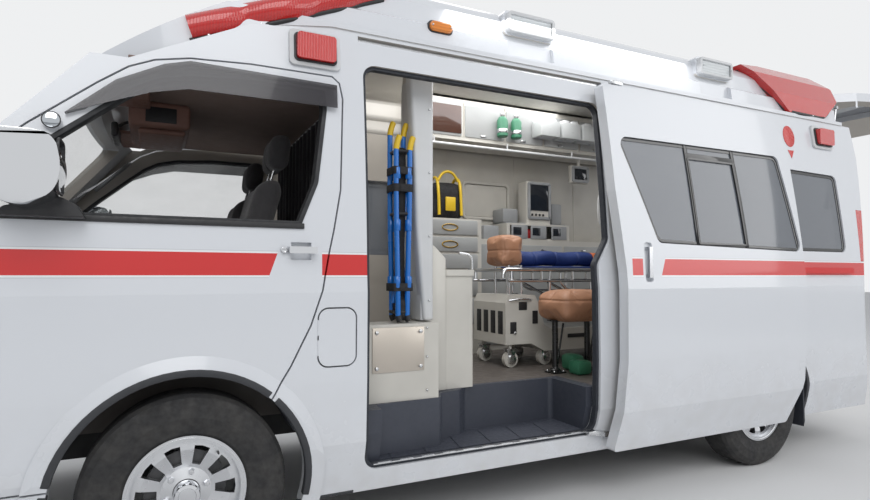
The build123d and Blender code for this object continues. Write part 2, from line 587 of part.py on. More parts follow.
# Front doors, their glass, visors, mirrors and handles
door_form = body_form(0)
for side, name in ((-1, "left"), (1, "right")):
    with BuildPart() as door:
        add(shell.part)
        one_side(side, FRONT_DOOR, near=DOOR_NEAR, mode=Mode.INTERSECT)
        wheel_hole(0, FRONT_ARCH_RADIUS)
        across(FRONT_DOOR_WINDOW, mode=Mode.SUBTRACT)
        one_side(side, HANDLE_RECESS, near=HALF_WIDTH - 40, mode=Mode.SUBTRACT)
        barrels(TOP, (DOOR_HINGE_X, side * DOOR_HINGE_Y), DOOR_BARRELS, (5, -side * 1), True)
    keep(f"{name}_door", door.part)
    with BuildPart() as wing_mirror:
        near, far = limits(side, MIRROR_FAR - 150, MIRROR_FAR)
        prism(SIDE.offset(-far), MIRROR_HEAD, 150, radius=40)
        outer = wing_mirror.faces().sort_by(Axis.Y)[0 if side < 0 else -1]
        chamfer(outer.edges(), 22)
        near, far = limits(side, 900, MIRROR_FAR - 149)
        prism(SIDE.offset(-far), MIRROR_FOOT, far - near)
        if side < 0:
            rod(SIDE.offset(890), (CORNER_MIRROR_X, CORNER_MIRROR_Z), 9, 34)
            rod(SIDE.offset(922), (CORNER_MIRROR_X, CORNER_MIRROR_Z), 28, 16)
        add(Pos(0, side * FIT, 0) * door_form, mode=Mode.SUBTRACT)
    keep(f"{name}_mirror", wing_mirror.part)
    with BuildPart() as handle:
        near, far = limits(side, HALF_WIDTH - 39, HALF_WIDTH + 34)
        block((HANDLE_X, HANDLE_X + 106), (near, far), (HANDLE_Z, HANDLE_Z + 26))
        near, far = limits(side, HALF_WIDTH - 41, HALF_WIDTH + 18)
        block((HANDLE_X + 20, HANDLE_X + 86), (near, far), (HANDLE_Z - 1, HANDLE_Z + 27), mode=Mode.SUBTRACT)
        add(Pos(0, side * FIT, 0) * door_form, mode=Mode.SUBTRACT)
    keep(f"{name}_door_handle", handle.part)

pane("right_door_glass", [("side", FRONT_DOOR_WINDOW, 1)])

# Each visor stands off the door, and a flange along its upper edge seats on the door frame
with BuildPart() as visor_hollow:
    add(body_form(-21))
    across([(-500, 1500), (600, 1500), (600, 1874), (-14, 1884), (-100, 1858), (-250, 1776)], mode=Mode.INTERSECT)
for side, name in ((-1, "left"), (1, "right")):
    with BuildPart() as visor:
        add(body_form(-26))
        add(body_form(-FIT), mode=Mode.SUBTRACT)
        one_side(side, VISOR, near=DOOR_NEAR, mode=Mode.INTERSECT)
        add(visor_hollow.part, mode=Mode.SUBTRACT)
    keep(f"{name}_visor", visor.part)

# The sliding door, open along the left side
with BuildPart() as panel:
    add(shell.part)
    one_side(-1, [(x - SLIDE_TRAVEL, z) for x, z in SLIDING_PANEL], mode=Mode.INTERSECT, radius=PANEL_CORNER)
    one_side(-1, [(x - SLIDE_TRAVEL, z) for x, z in SLIDING_WINDOW], mode=Mode.SUBTRACT, radius=WINDOW_CORNER)
    one_side(-1, [(x - SLIDE_TRAVEL, z) for x, z in HANDLE_POCKET], near=HALF_WIDTH - POCKET_DEPTH,
             mode=Mode.SUBTRACT, radius=15)
sliding_door = Pos(SLIDE_TRAVEL, -SLIDE_OUT, 0) * panel.part
keep("sliding_door", sliding_door)

with BuildPart() as panel_glass:
    add(glass_skin.part)
    one_side(-1, drawn_in([(x - SLIDE_TRAVEL, z) for x, z in SLIDING_WINDOW], FIT), mode=Mode.INTERSECT,
             radius=WINDOW_CORNER)
keep("sliding_door_glass", Pos(SLIDE_TRAVEL, -SLIDE_OUT, 0) * panel_glass.part)

# The tailgate, built shut and raised about its hinge
HINGE = Axis((AXLE_X + GATE_HINGE_X, 0, GATE_HINGE_Z), (0, 1, 0))
with BuildPart() as rear_skin:
    add(body_form(0))
    add(body_form(WALL), mode=Mode.SUBTRACT)
    along(GATE, REAR_SPLIT_X + 20, BODY_REAR + 100, mode=Mode.INTERSECT)
    along(GATE_WINDOW, REAR_SPLIT_X, BODY_REAR + 100, mode=Mode.SUBTRACT, radius=SCREEN_CORNER)
    for y in (-HINGE_Y, HINGE_Y):
        block((GATE_HINGE_X - 4, GATE_HINGE_X + 60), (y - 30, y + 30), (GATE_HINGE_Z - 34, GATE_HINGE_Z - 6))
        rod(SIDE.offset(-y - 30), (GATE_HINGE_X, GATE_HINGE_Z), 13, 60)
        rod(SIDE.offset(-y - 31), (GATE_HINGE_X, GATE_HINGE_Z), HINGE_PIN + FIT, 62, mode=Mode.SUBTRACT)
    for side in (-1, 1):
        near, far = limits(side, STRUT_Y - 45, STRUT_Y - 12)
        block((STRUT_TOP_X - 12, STRUT_TOP_X + 60), (near, far), (STRUT_TOP_Z - 16, STRUT_TOP_Z + 16))
        near, far = limits(side, STRUT_Y - 13, STRUT_Y - 10 - FIT)
        rod(SIDE.offset(-far), (STRUT_TOP_X, STRUT_TOP_Z), 8, far - near)
keep("tailgate", rear_skin.part.rotate(HINGE, -GATE_SWING))
with BuildPart() as gate_glass:
    add(glass_skin.part)
    along(drawn_in(GATE_WINDOW, FIT), REAR_SPLIT_X, BODY_REAR + 100, mode=Mode.INTERSECT, radius=SCREEN_CORNER)
keep("tailgate_glass", gate_glass.part.rotate(HINGE, -GATE_SWING))

# Wheels: each tyre and rim turns on its own hub
WHEELS = [("front_left", 0, -FRONT_TRACK / 2), ("front_right", 0, FRONT_TRACK / 2),
          ("rear_left", WHEELBASE, -REAR_TRACK / 2), ("rear_right", WHEELBASE, REAR_TRACK / 2)]
for name, hub_x, hub_y in WHEELS:
    turn = Axis((AXLE_X + hub_x, 0, TYRE_RADIUS), (0, 1, 0))
    out = 1 if hub_y > 0 else -1
    z = TYRE_RADIUS
    half = TYRE_WIDTH / 2
    bead = RIM_RADIUS + 1
    with BuildPart() as tyre:
        with BuildSketch(CROSS.offset(hub_x)):
            outline = [(half - 30, bead), (half - 10, bead + 22), (half, bead + 76), (half - 6, TYRE_RADIUS - 34),
                       (half - 18, TYRE_RADIUS - 12), (half - 34, TYRE_RADIUS)]
            Polygon(*[(hub_y + y, z + r) for y, r in outline],
                    *[(hub_y - y, z + r) for y, r in reversed(outline)], align=None)
        revolve(axis=turn)
    keep(f"{name}_tyre", tyre.part)

    rim = RIM_WIDTH / 2
    with BuildPart() as wheel:
        with BuildSketch(CROSS.offset(hub_x)):
            Polygon((hub_y - rim, z + RIM_RADIUS + RIM_LIP), (hub_y - rim + 7, z + RIM_RADIUS),
                    (hub_y + rim - 7, z + RIM_RADIUS), (hub_y + rim, z + RIM_RADIUS + RIM_LIP),
                    (hub_y + rim, z + RIM_RADIUS - 8), (hub_y - rim, z + RIM_RADIUS - 8), align=None)
            Polygon((hub_y + out * 22, z + HUB_RADIUS), (hub_y + out * 60, z + HUB_RADIUS),
                    (hub_y + out * 50, z + 84), (hub_y + out * 66, z + 150), (hub_y + out * 62, z + 184),
                    (hub_y + out * 44, z + 184), (hub_y + out * 30, z + 90), align=None)
        revolve(axis=turn)
        with BuildSketch(SIDE.offset(-hub_y - out * 10)):
            with Locations((hub_x, z)):
                with PolarLocations(0, RIM_WINDOWS):
                    Polygon((96, -14), (162, -27), (166, 0), (162, 27), (96, 14), align=None)
        extrude(amount=-out * 80, mode=Mode.SUBTRACT)
    keep(f"{name}_rim", wheel.part)

# Knuckles: an upright between the two arms, a stub axle into the rim and a brake disc
for name, hub_x, hub_y in WHEELS[:2]:
    out = 1 if hub_y > 0 else -1
    pin_y = hub_y - out * KINGPIN_INSET
    with BuildPart() as knuckle:
        rod(TOP.offset(252), (hub_x, pin_y), 24, 195)
        rod(TOP.offset(212), (hub_x, pin_y), PIN_RADIUS, 270)
        near, far = sorted((pin_y, hub_y + out * 60))
        rod(SIDE.offset(-far), (hub_x, TYRE_RADIUS), HUB_RADIUS - FIT, far - near)
        near, far = sorted((hub_y - out * 10, hub_y + out * 14))
        rod(SIDE.offset(-far), (hub_x, TYRE_RADIUS), 138, far - near)
    keep("left_knuckle" if out < 0 else "right_knuckle", knuckle.part)

# Rear axle with differential, drums and leaf springs
with BuildPart() as rear_axle:
    tube = REAR_TRACK / 2 - 60
    rod(SIDE.offset(-tube), (WHEELBASE, TYRE_RADIUS), 42, 2 * tube)
    rod(SIDE.offset(-120), (WHEELBASE, TYRE_RADIUS), 138, 240)
    for side in (-1, 1):
        near, far = limits(side, tube, REAR_TRACK / 2 + 15)
        rod(SIDE.offset(-far), (WHEELBASE, TYRE_RADIUS), 135, far - near)
        near, far = limits(side, REAR_TRACK / 2, REAR_TRACK / 2 + 60)
        rod(SIDE.offset(-far), (WHEELBASE, TYRE_RADIUS), HUB_RADIUS - FIT, far - near)
        near, far = limits(side, SPRING_Y - 35, SPRING_Y + 35)
        with BuildSketch(SIDE.offset(-far)) as leaf:
            with BuildLine():
                ThreePointArc((WHEELBASE - SPRING_HALF, RAIL_Z - 62), (WHEELBASE, TYRE_RADIUS - 60),
                              (WHEELBASE + SPRING_HALF, RAIL_Z - 62))
                Line((WHEELBASE + SPRING_HALF, RAIL_Z - 62), (WHEELBASE + SPRING_HALF, RAIL_Z - 80))
                ThreePointArc((WHEELBASE + SPRING_HALF, RAIL_Z - 80), (WHEELBASE, TYRE_RADIUS - 90),
                              (WHEELBASE - SPRING_HALF, RAIL_Z - 80))
                Line((WHEELBASE - SPRING_HALF, RAIL_Z - 80), (WHEELBASE - SPRING_HALF, RAIL_Z - 62))
            make_face()
        extrude(amount=far - near)
        block((WHEELBASE - 60, WHEELBASE + 60), (near, far), (TYRE_RADIUS - 75, TYRE_RADIUS + 10))
keep("rear_axle", rear_axle.part)

# Ladder frame with cross members, spring hangers and the front suspension arms
with BuildPart() as chassis_frame:
    for side in (-1, 1):
        block((RAIL_FRONT_X, RAIL_REAR_X), limits(side, RAIL_Y - 35, RAIL_Y + 35), (RAIL_Z - 50, RAIL_Z + 50))
        for hanger in (WHEELBASE - SPRING_HALF, WHEELBASE + SPRING_HALF):
            block((hanger - 40, hanger + 40), limits(side, RAIL_Y, SPRING_Y + 35), (RAIL_Z - 61.6, RAIL_Z - 20))
        pin_y = side * (FRONT_TRACK / 2 - KINGPIN_INSET)
        for low, high, wide in ((222, 246.6, 150), (452.4, 474, 90)):
            reach = abs(pin_y) + 26
            wing = [(-wide, side * (RAIL_Y - 10)), (-28, side * reach), (28, side * reach),
                    (wide, side * (RAIL_Y - 10))]
            prism(TOP.offset(low), wing, high - low)
            rod(TOP.offset(low - 5), (0, pin_y), PIN_RADIUS + FIT, 60, mode=Mode.SUBTRACT)
        block((-150, 150), limits(side, RAIL_Y - 35, RAIL_Y + 35), (222, RAIL_Z))
    for member in (-860, 0):
        block((member - 45, member + 45), (-RAIL_Y, RAIL_Y), (RAIL_Z - 45, RAIL_Z - 5))
    for x in (RAIL_FRONT_X - 30, RAIL_REAR_X + 30):
        end = RAIL_FRONT_X + 60 if x < 0 else RAIL_REAR_X - 60
        with BuildSketch(SIDE.offset(-RAIL_Y - EYE_THICK / 2)) as eye:
            Polygon((end, RAIL_Z - 60), (end, RAIL_Z - 20), (x, RAIL_Z - 20), (x, RAIL_Z - 60), align=None)
            with Locations((x, RAIL_Z - 60)):
                Circle(40)
                Circle(EYE_RADIUS, mode=Mode.SUBTRACT)
        extrude(eye.sketch, amount=EYE_THICK)
    for member in (1000, 1700, 2500, 3650, 4000):
        block((member - 45, member + 45), (-RAIL_Y, RAIL_Y), (RAIL_Z + 10, RAIL_Z + 50))
keep("chassis_frame", chassis_frame.part)

with BuildPart() as drive_line:
    block((355.4, 930), (-120, 120), (SHAFT_Z - 60, FLOOR_Z - FLOOR_THICK - FIT), radius=40)
    rod(CROSS.offset(925), (0, SHAFT_Z), 34, 305)
    with BuildSketch(CROSS.offset(1230)):
        with Locations((0, SHAFT_Z)):
            Circle(34)
    with BuildSketch(CROSS.offset(WHEELBASE - 138)):
        with Locations((0, TYRE_RADIUS)):
            Circle(34)
    loft()
keep("drive_line", drive_line.part)

with BuildPart() as engine_block:
    block((-300, 355), (-230, 230), (RAIL_Z - 4.6, 770))
keep("engine_block", engine_block.part)

with BuildPart() as fuel_tank:
    block((1150, 1900), (-RAIL_Y + 35.4, -60), (290, RAIL_Z + 10 - FIT), radius=50)
keep("fuel_tank", fuel_tank.part)

with BuildPart() as exhaust:
    rod(CROSS.offset(1750), (230, 320), 95, 800)
    rod(CROSS.offset(600), (230, 320), 28, 1150)
    for hanger in (900, 2300):
        block((hanger, hanger + 30), (222, 238), (320, FLOOR_Z - FLOOR_THICK - FIT))
keep("exhaust", exhaust.part)

# Floor: front footwells, the box under the cab seats, the rear floor and its wheel houses
with BuildPart() as floor_pan:
    top = [(-930, FLOOR_Z), (SEAT_BOX_FRONT, FLOOR_Z), (SEAT_BOX_FRONT, SEAT_BOX_Z), (SEAT_BOX_REAR, SEAT_BOX_Z),
           (SEAT_BOX_REAR, FLOOR_Z), (BODY_REAR - WALL - 20, FLOOR_Z)]
    low = [(x + (FLOOR_THICK if z == SEAT_BOX_Z and x < 0 else -FLOOR_THICK if z == SEAT_BOX_Z else 0),
            z - FLOOR_THICK) for x, z in top]
    low[1] = (SEAT_BOX_FRONT + FLOOR_THICK, FLOOR_Z - FLOOR_THICK)
    low[4] = (SEAT_BOX_REAR - FLOOR_THICK, FLOOR_Z - FLOOR_THICK)
    across(top + low[::-1])
    for side in (-1, 1):
        block((WHEELBASE - 430, WHEELBASE + 430), limits(side, 660, 1000), (FLOOR_Z - FLOOR_THICK, 830))
        block((WHEELBASE - 415, WHEELBASE + 415), limits(side, 675, 1100), (0, 815), mode=Mode.SUBTRACT)
        block((SEAT_BOX_FRONT + FLOOR_THICK, SEAT_BOX_REAR - FLOOR_THICK), limits(side, 500, 515), (500, 800))
    block((OPENING_FRONT_X - 25, OPENING_REAR_LOW_X + 25), (-1000, STEP_Y), (0, FLOOR_Z + 1), mode=Mode.SUBTRACT)
    add(floor_limit, mode=Mode.INTERSECT)
    for side in (-1, 1):
        near, far = limits(side, HALF_WIDTH - WALL - DOOR_SWING_GAP, FAR)
        block((DOOR_FRONT_X - 30, DOOR_REAR_X), (near, far), (0, FAR), mode=Mode.SUBTRACT)
        near, far = limits(side, DOOR_HINGE_Y - WALL - 16, FAR)
        block((DOOR_FRONT_X - 30, DOOR_FRONT_X + 110), (near, far), (0, FAR), mode=Mode.SUBTRACT)
keep("floor_pan", floor_pan.part)

# Step well inside the sliding door: a moulded tray with a tread below the floor
with BuildPart() as step_well:
    block((OPENING_FRONT_X - 24.6, OPENING_REAR_LOW_X + 24.6), (-1000, STEP_Y - FIT), (300, FLOOR_Z))
    prism(TOP.offset(STEP_Z), TREAD, FLOOR_Z, mode=Mode.SUBTRACT, radius=25)
    for rib in range(6):
        x = OPENING_FRONT_X + 140 + 165 * rib
        prism(TOP.offset(STEP_Z - 1), [(x, -862), (x + 14, -862), (x + 64, -640), (x + 50, -640)], 4)
    add(floor_limit, mode=Mode.INTERSECT)
keep("step_well", step_well.part)

# Cab
WHEEL_POST = Plane(origin=(AXLE_X - 560, DRIVER_Y, 1100), x_dir=(0, 1, 0), z_dir=(0.8, 0, 0.6))
with BuildPart() as dashboard:
    across([(-960, 820), (-660, 880), (-570, 1040), (-600, 1160), (-700, 1190), (-960, 1100)])
    block((-1100, -500), (-790, 790), (0, FAR), mode=Mode.INTERSECT)
    block((-860, -640), (-300, 300), (FLOOR_Z, 905))
    hood = [(-760, 1180), (-640, 1150), (-590, 1170), (-640, 1235), (-720, 1240)]
    prism(SIDE.offset(-DRIVER_Y - 190), hood, 380)
    add(floor_limit, mode=Mode.INTERSECT)
    rod(WHEEL_POST.offset(-120), (0, 0), 30, 120)
keep("dashboard", dashboard.part)

with BuildPart() as steering_wheel:
    with BuildSketch(WHEEL_POST.offset(0.4)):
        Circle(24)
    extrude(amount=150)
    with BuildSketch(WHEEL_POST.offset(140)):
        Circle(62)
        Rectangle(340, 36)
        with Locations((0, -85)):
            Rectangle(36, 170)
    extrude(amount=18)
    with BuildSketch(Plane(origin=WHEEL_POST.origin, x_dir=WHEEL_POST.x_dir, z_dir=-WHEEL_POST.y_dir)):
        with Locations((175, 150)):
            RegularPolygon(16, 8)
    revolve(axis=Axis(WHEEL_POST.origin, WHEEL_POST.z_dir))
keep("steering_wheel", steering_wheel.part)

with BuildPart() as cab_seats:
    for y in (-DRIVER_Y, DRIVER_Y):
        block((-330, 190), (y - 245, y + 245), (SEAT_BOX_Z, SEAT_BOX_Z + 150), radius=50)
        back = [(120, SEAT_BOX_Z + 150), (230, SEAT_BOX_Z + 150), (400, SEAT_BOX_Z + 740),
                (310, SEAT_BOX_Z + 760), (230, SEAT_BOX_Z + 640)]
        prism(SIDE.offset(-y - 235), back, 470, radius=18)
        head = [(340, SEAT_BOX_Z + 790), (430, SEAT_BOX_Z + 775), (475, SEAT_BOX_Z + 950), (395, SEAT_BOX_Z + 965)]
        prism(SIDE.offset(-y - 130), head, 260, radius=25)
        for post in (y - 60, y + 60):
            prism(SIDE.offset(-post - 6), [(360, SEAT_BOX_Z + 740), (374, SEAT_BOX_Z + 740),
                                           (400, SEAT_BOX_Z + 800), (386, SEAT_BOX_Z + 800)], 12)
keep("cab_seats", cab_seats.part)

# Patient room: a thick bulkhead with a rounded top, cupboards along the driver's side
with BuildPart() as partition:
    panel_edge = [(-650, FLOOR_Z), (-650, BULKHEAD_TOP_Z), (-300, BULKHEAD_TOP_Z), (-300, FLOOR_Z)]
    with BuildSketch(CROSS.offset(BULKHEAD_X)) as bulkhead:
        Polygon(*panel_edge, align=None)
        fillet(bulkhead.vertices().group_by(Axis.Z)[-1], 90)
    extrude(bulkhead.sketch, amount=BULKHEAD_THICK)
keep("partition", partition.part)
with BuildPart() as patient_cabinets:
    block((700, BULKHEAD_X - FIT), (-770, -600), (FLOOR_Z, 900))
    near_x = BULKHEAD_X + BULKHEAD_THICK + FIT
    block((near_x, 1330), (-620, -400), (FLOOR_Z, 1125), radius=12)
    block((near_x, 1335), (-632, -388), (1115, 1145), radius=15)
    block((1500, 2000), (CUPBOARD_Y, 790), (FLOOR_Z, 1520))
    for z in (760, 960, 1156, 1275, 1395):
        block((1520, 1980), (CUPBOARD_Y - 1, CUPBOARD_Y + 5), (z, z + 8), mode=Mode.SUBTRACT)
    block((1999, 3600), (540, 790), (FLOOR_Z, LEDGE_Z))
    block((2640, 3580), (640, 900), (0, 850), mode=Mode.SUBTRACT)
    block((1500, 3600), (CUPBOARD_Y, 740), (LOCKER_Z, 2380))
    for x in (1850, 2200, 2550, 2900, 3250):
        block((x, x + 8), (CUPBOARD_Y - 1, CUPBOARD_Y + 5), (LOCKER_Z + 20, 2360), mode=Mode.SUBTRACT)
    # A shelf with a monitor on it, and a second monitor hung from the lockers
    block((2300, 2900), (555, 780), (LEDGE_Z - 1, LEDGE_Z + 130))
    block((2330, 2870), (550, 740), (LEDGE_Z + 15, LEDGE_Z + 115), mode=Mode.SUBTRACT)
    block((2500, 2730), (570, 700), (LEDGE_Z + 129, 1860), radius=15)
    block((2900, 3080), (520, 560), (1870, 2010), radius=8)
    rod(TOP.offset(2000), (2990, 540), 14, LOCKER_Z - 1999)
    add(roof_form(ROOF_WALL + FIT), mode=Mode.INTERSECT)
    add(floor_limit, mode=Mode.INTERSECT)
keep("patient_cabinets", patient_cabinets.part)

# The cot's moulded base on its casters, higher at the head end
with BuildPart() as cot_platform:
    base = [(1775, 700), (1775, 950), (1800, 1000), (1990, 996), (2015, 950), (2060, 810), (2110, BASE_Z),
            (3900, BASE_Z), (3900, 650), (2060, 650), (1960, 700)]
    prism(SIDE.offset(-COT_Y - 190), base, 380)
    for y in (COT_Y - 150, COT_Y + 150):
        for x, top in ((1830, 705), (2080, 655), (3830, 655)):
            rod(TOP.offset(FLOOR_Z + CASTER), (x, y), 12, top - FLOOR_Z - CASTER)
            rod(SIDE.offset(-y - 15), (x, FLOOR_Z + CASTER + FIT), CASTER, 30)
keep("cot_platform", cot_platform.part)

# The cot: side tubes on posts, a deck with a rolled mattress, and a head cushion on its own posts
with BuildPart() as cot:
    for y in (COT_Y - 215, COT_Y + 215):
        rod(CROSS.offset(COT_X), (y, COT_TUBE_Z), 13, COT_LENGTH)
        rod(CROSS.offset(COT_X + 40), (y, COT_TUBE_Z - 67), 10, COT_LENGTH - 80)
        for x in (COT_X + 60, 2500, COT_X + COT_LENGTH - 60):
            rod(TOP.offset(COT_TUBE_Z - 67), (x, y), 10, 67)
        rod(SIDE.offset(-y - 15), (2090, 935), 46, 30)
        rod(TOP.offset(935), (2090, y), 10, COT_TUBE_Z - 935)
    for x in (COT_X + 12, 2500, COT_X + COT_LENGTH - 12):
        rod(SIDE.offset(-COT_Y - 215), (x, COT_TUBE_Z), 12, 430)
    for x in (1860, 1950):
        for y in (COT_Y - 100, COT_Y + 60):
            rod(TOP.offset(1000.4), (x, y), 9, 180)
        rod(SIDE.offset(-COT_Y - 215), (x, COT_TUBE_Z), 9, 430)
    for x in (2500, 3580):
        for y in (COT_Y - 150, COT_Y + 150):
            rod(TOP.offset(BASE_Z + FIT), (x, y), 11, COT_TUBE_Z - BASE_Z)
        rod(SIDE.offset(-COT_Y - 215), (x, COT_TUBE_Z), 9, 430)
    block((1990, COT_X + COT_LENGTH - 30), (COT_Y - 205, COT_Y + 205), (COT_TUBE_Z + 8, COT_TUBE_Z + 26))
    rod(CROSS.offset(1995), (COT_Y, COT_TUBE_Z + 26.4 + ROLL), ROLL, 670)
    block((1790, 1965), (COT_Y - 130, COT_Y + 90), (1176, 1370), radius=30)
keep("cot", cot.part)
with BuildPart() as attendant_seat:
    block((1890, 2300), (-640, -350), (860, 1020), radius=50)
    for x in (1955, 2190):
        rod(TOP.offset(FLOOR_Z), (x, -470), 18, 302)
        block((x - 40, x + 40), (-510, -430), (FLOOR_Z, FLOOR_Z + 8))
keep("attendant_seat", attendant_seat.part)

# A folded stretcher of four tubes with its cloth between them, standing on the low cupboard
with BuildPart() as folded_stretcher:
    block((865.4, 934.6), (-714, -656), (960, 1720))
    for x in (856, 944):
        for y in (-724, -646):
            rod(TOP.offset(900.4), (x, y), 13, 950)
        for z in (940, 1400, 1830):
            rod(SIDE.offset(646), (x, z), 9, 78)
    for y in (-724, -646):
        for z in (940, 1830):
            rod(CROSS.offset(856), (y, z), 9, 88)
keep("folded_stretcher", folded_stretcher.part)

# Lamps on the high roof
with BuildPart() as lamp_band:
    with BuildSketch(TOP.offset(2000)):
        with BuildLine():
            ThreePointArc((800, -730), (90, -470), (-80, 0))
            ThreePointArc((-80, 0), (90, 470), (800, 730))
            Line((800, 730), (800, 640))
            ThreePointArc((800, 640), (360, 380), (230, 0))
            ThreePointArc((230, 0), (360, -380), (800, -640))
            Line((800, -640), (800, -730))
        make_face()
    extrude(amount=600)
with BuildPart() as front_lamp:
    add(Pos(0, 0, 78) * roof_form(0))
    add(lamp_band.part, mode=Mode.INTERSECT)
    add(Pos(0, 0, FIT) * roof_form(0), mode=Mode.SUBTRACT)

with BuildPart() as flashers:
    for side in (-1, 1):
        for x in FLASHERS:
            near, far = limits(side, GUTTER_HALF, FLASHER_FAR)
            prism(SIDE.offset(-far), rectangle((x, x + 158), (1980, 2084)), far - near, radius=14)
    add(body_form(-FIT), mode=Mode.SUBTRACT)
# Rear corner lamps: a wedge in side view, faceted round the shoulder of the roof
with BuildPart() as corner_lamps:
    across(CORNER_LAMP)
    with BuildSketch(CROSS.offset(3000)):
        Polygon(*CORNER_LAMP_END, align=None)
        Polygon(*mirrored(CORNER_LAMP_END), align=None)
    extrude(amount=2000, mode=Mode.INTERSECT)
with BuildPart() as red_lamps:
    add(corner_lamps.part)
    add(Pos(0, 0, FIT) * roof_form(0), mode=Mode.SUBTRACT)
    add(front_lamp.part)
    add(flashers.part)
keep("warning_lamps", red_lamps.part)

with BuildPart() as flood_lamps:
    for side in (-1, 1):
        for x in FLOOD_LAMPS:
            near, far = limits(side, GUTTER_HALF - 66 + FIT, GUTTER_HALF - 34)
            face = rectangle((x + FIT, x + FLOOD_LENGTH - FIT), (ROOF_TOP_Z - 160 + FIT, ROOF_TOP_Z - 80 - FIT))
            prism(SIDE.offset(-far), face, far - near)
keep("flood_lamps", flood_lamps.part)

with BuildPart() as tail_places:
    along(drawn_in(TAIL_LAMP, FIT), REAR_SPLIT_X + 40 + FIT, BODY_REAR + 100)
    along(drawn_in(mirrored(TAIL_LAMP), FIT), REAR_SPLIT_X + 40 + FIT, BODY_REAR + 100)
with BuildPart() as tail_lamps:
    add(shell.part)
    add(tail_places.part, mode=Mode.INTERSECT)
keep("tail_lamps", tail_lamps.part)

# Sliding door furniture: centre rail with its roller arm, upper and lower arms
with BuildPart() as door_rails:
    block((3300, 3360), (-HALF_WIDTH - 60, -HALF_WIDTH - 10), (1132, 1162))
    add(Pos(SLIDE_TRAVEL, -SLIDE_OUT, 0) * floor_limit, mode=Mode.INTERSECT)
    block((2080, 4020), (-HALF_WIDTH - 16, -HALF_WIDTH + 12), (1128, 1166))
    add(body_form(-FIT), mode=Mode.SUBTRACT)
    block((OPENING_FRONT_X - 14, OPENING_REAR_HIGH_X + 27), (-RAIL_SLOT_Y - 9, -RAIL_SLOT_Y - FIT),
          (OPENING_TOP_Z + 99, OPENING_TOP_Z + 121))
    seat = -HALF_WIDTH + POCKET_DEPTH - SLIDE_OUT - FIT
    block((PANEL_HANDLE_X, PANEL_HANDLE_X + 22), (seat - 33, seat - 21), (1104, 1259))
    for z in (1104, 1241):
        block((PANEL_HANDLE_X, PANEL_HANDLE_X + 22), (seat - 33, seat), (z, z + 18))
keep("door_rails", door_rails.part)

with BuildPart() as seal_ring:
    one_side(-1, OPENING, radius=OPENING_CORNER)
    one_side(-1, drawn_in(OPENING, SEAL), mode=Mode.SUBTRACT, radius=OPENING_CORNER - SEAL)
with BuildPart() as door_seal:
    add(body_form(14))
    add(body_form(44), mode=Mode.SUBTRACT)
    add(seal_ring.part, mode=Mode.INTERSECT)
keep("door_seal", door_seal.part)

with BuildPart() as rear_arch:
    wheel_hole(WHEELBASE, REAR_ARCH_RADIUS - FIT, mode=Mode.ADD)
with BuildPart() as mudflaps:
    for side in (-1, 1):
        block((WHEELBASE + 378, WHEELBASE + 390), limits(side, 700, 930), (165, 490))
    add(rear_arch.part, mode=Mode.INTERSECT)
    # Liners under the flares, open at the bottom
    for hub_x, arch in ((0, FRONT_ARCH_RADIUS), (WHEELBASE, REAR_ARCH_RADIUS)):
        for side in (-1, 1):
            near, far = limits(side, LINER_NEAR, HALF_WIDTH - WALL - FIT)
            with BuildSketch(SIDE.offset(-far)) as liner:
                with Locations((hub_x, TYRE_RADIUS)):
                    Circle(arch - FIT)
                    Circle(arch - FIT - LINER_WALL, mode=Mode.SUBTRACT)
                with Locations((hub_x, TYRE_RADIUS - 500 + LINER_RISE)):
                    Rectangle(1200, 1000, mode=Mode.SUBTRACT)
            extrude(liner.sketch, amount=far - near)
keep("mudflaps", mudflaps.part)

# Gas struts at rest, with the tailgate raised
foot = Vector(AXLE_X + STRUT_FOOT_X, 0, STRUT_FOOT_Z)
pivot = Vector(AXLE_X + GATE_HINGE_X, 0, GATE_HINGE_Z)
top = pivot + (Vector(AXLE_X + STRUT_TOP_X, 0, STRUT_TOP_Z) - pivot).rotate(Axis.Y, -GATE_SWING)
reach = top - foot
lean = reach.normalized()
with BuildPart() as strut_tubes:
    for y in (-STRUT_Y, STRUT_Y):
        base = Plane(origin=(foot.X, y, foot.Z), x_dir=(0, 1, 0), z_dir=(lean.X, 0, lean.Z))
        rod(base.offset(16), (0, 0), 11, STRUT_TUBE)
        rod(base.offset(24), (0, 0), 5 + FIT, STRUT_TUBE, mode=Mode.SUBTRACT)
        rod(SIDE.offset(-y - 10), (STRUT_FOOT_X, STRUT_FOOT_Z), 17, 20)
        rod(SIDE.offset(-y - 11), (STRUT_FOOT_X, STRUT_FOOT_Z), 7 + FIT, 22, mode=Mode.SUBTRACT)
keep("strut_tubes", strut_tubes.part)
with BuildPart() as strut_rods:
    for y in (-STRUT_Y, STRUT_Y):
        base = Plane(origin=(foot.X, y, foot.Z), x_dir=(0, 1, 0), z_dir=(lean.X, 0, lean.Z))
        rod(base.offset(reach.length - STRUT_ROD), (0, 0), 5, STRUT_ROD - 5)
        eye = Plane(origin=(top.X, y + 10, top.Z), x_dir=(1, 0, 0), z_dir=(0, -1, 0))
        rod(eye, (0, 0), 12, 20)
keep("strut_rods", strut_rods.part)

os.makedirs("parts", exist_ok=True)
for label, piece in pieces.items():
    export_step(piece, f"parts/{label}.step")
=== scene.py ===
import json
import math

import bpy
from mathutils import Matrix, Vector


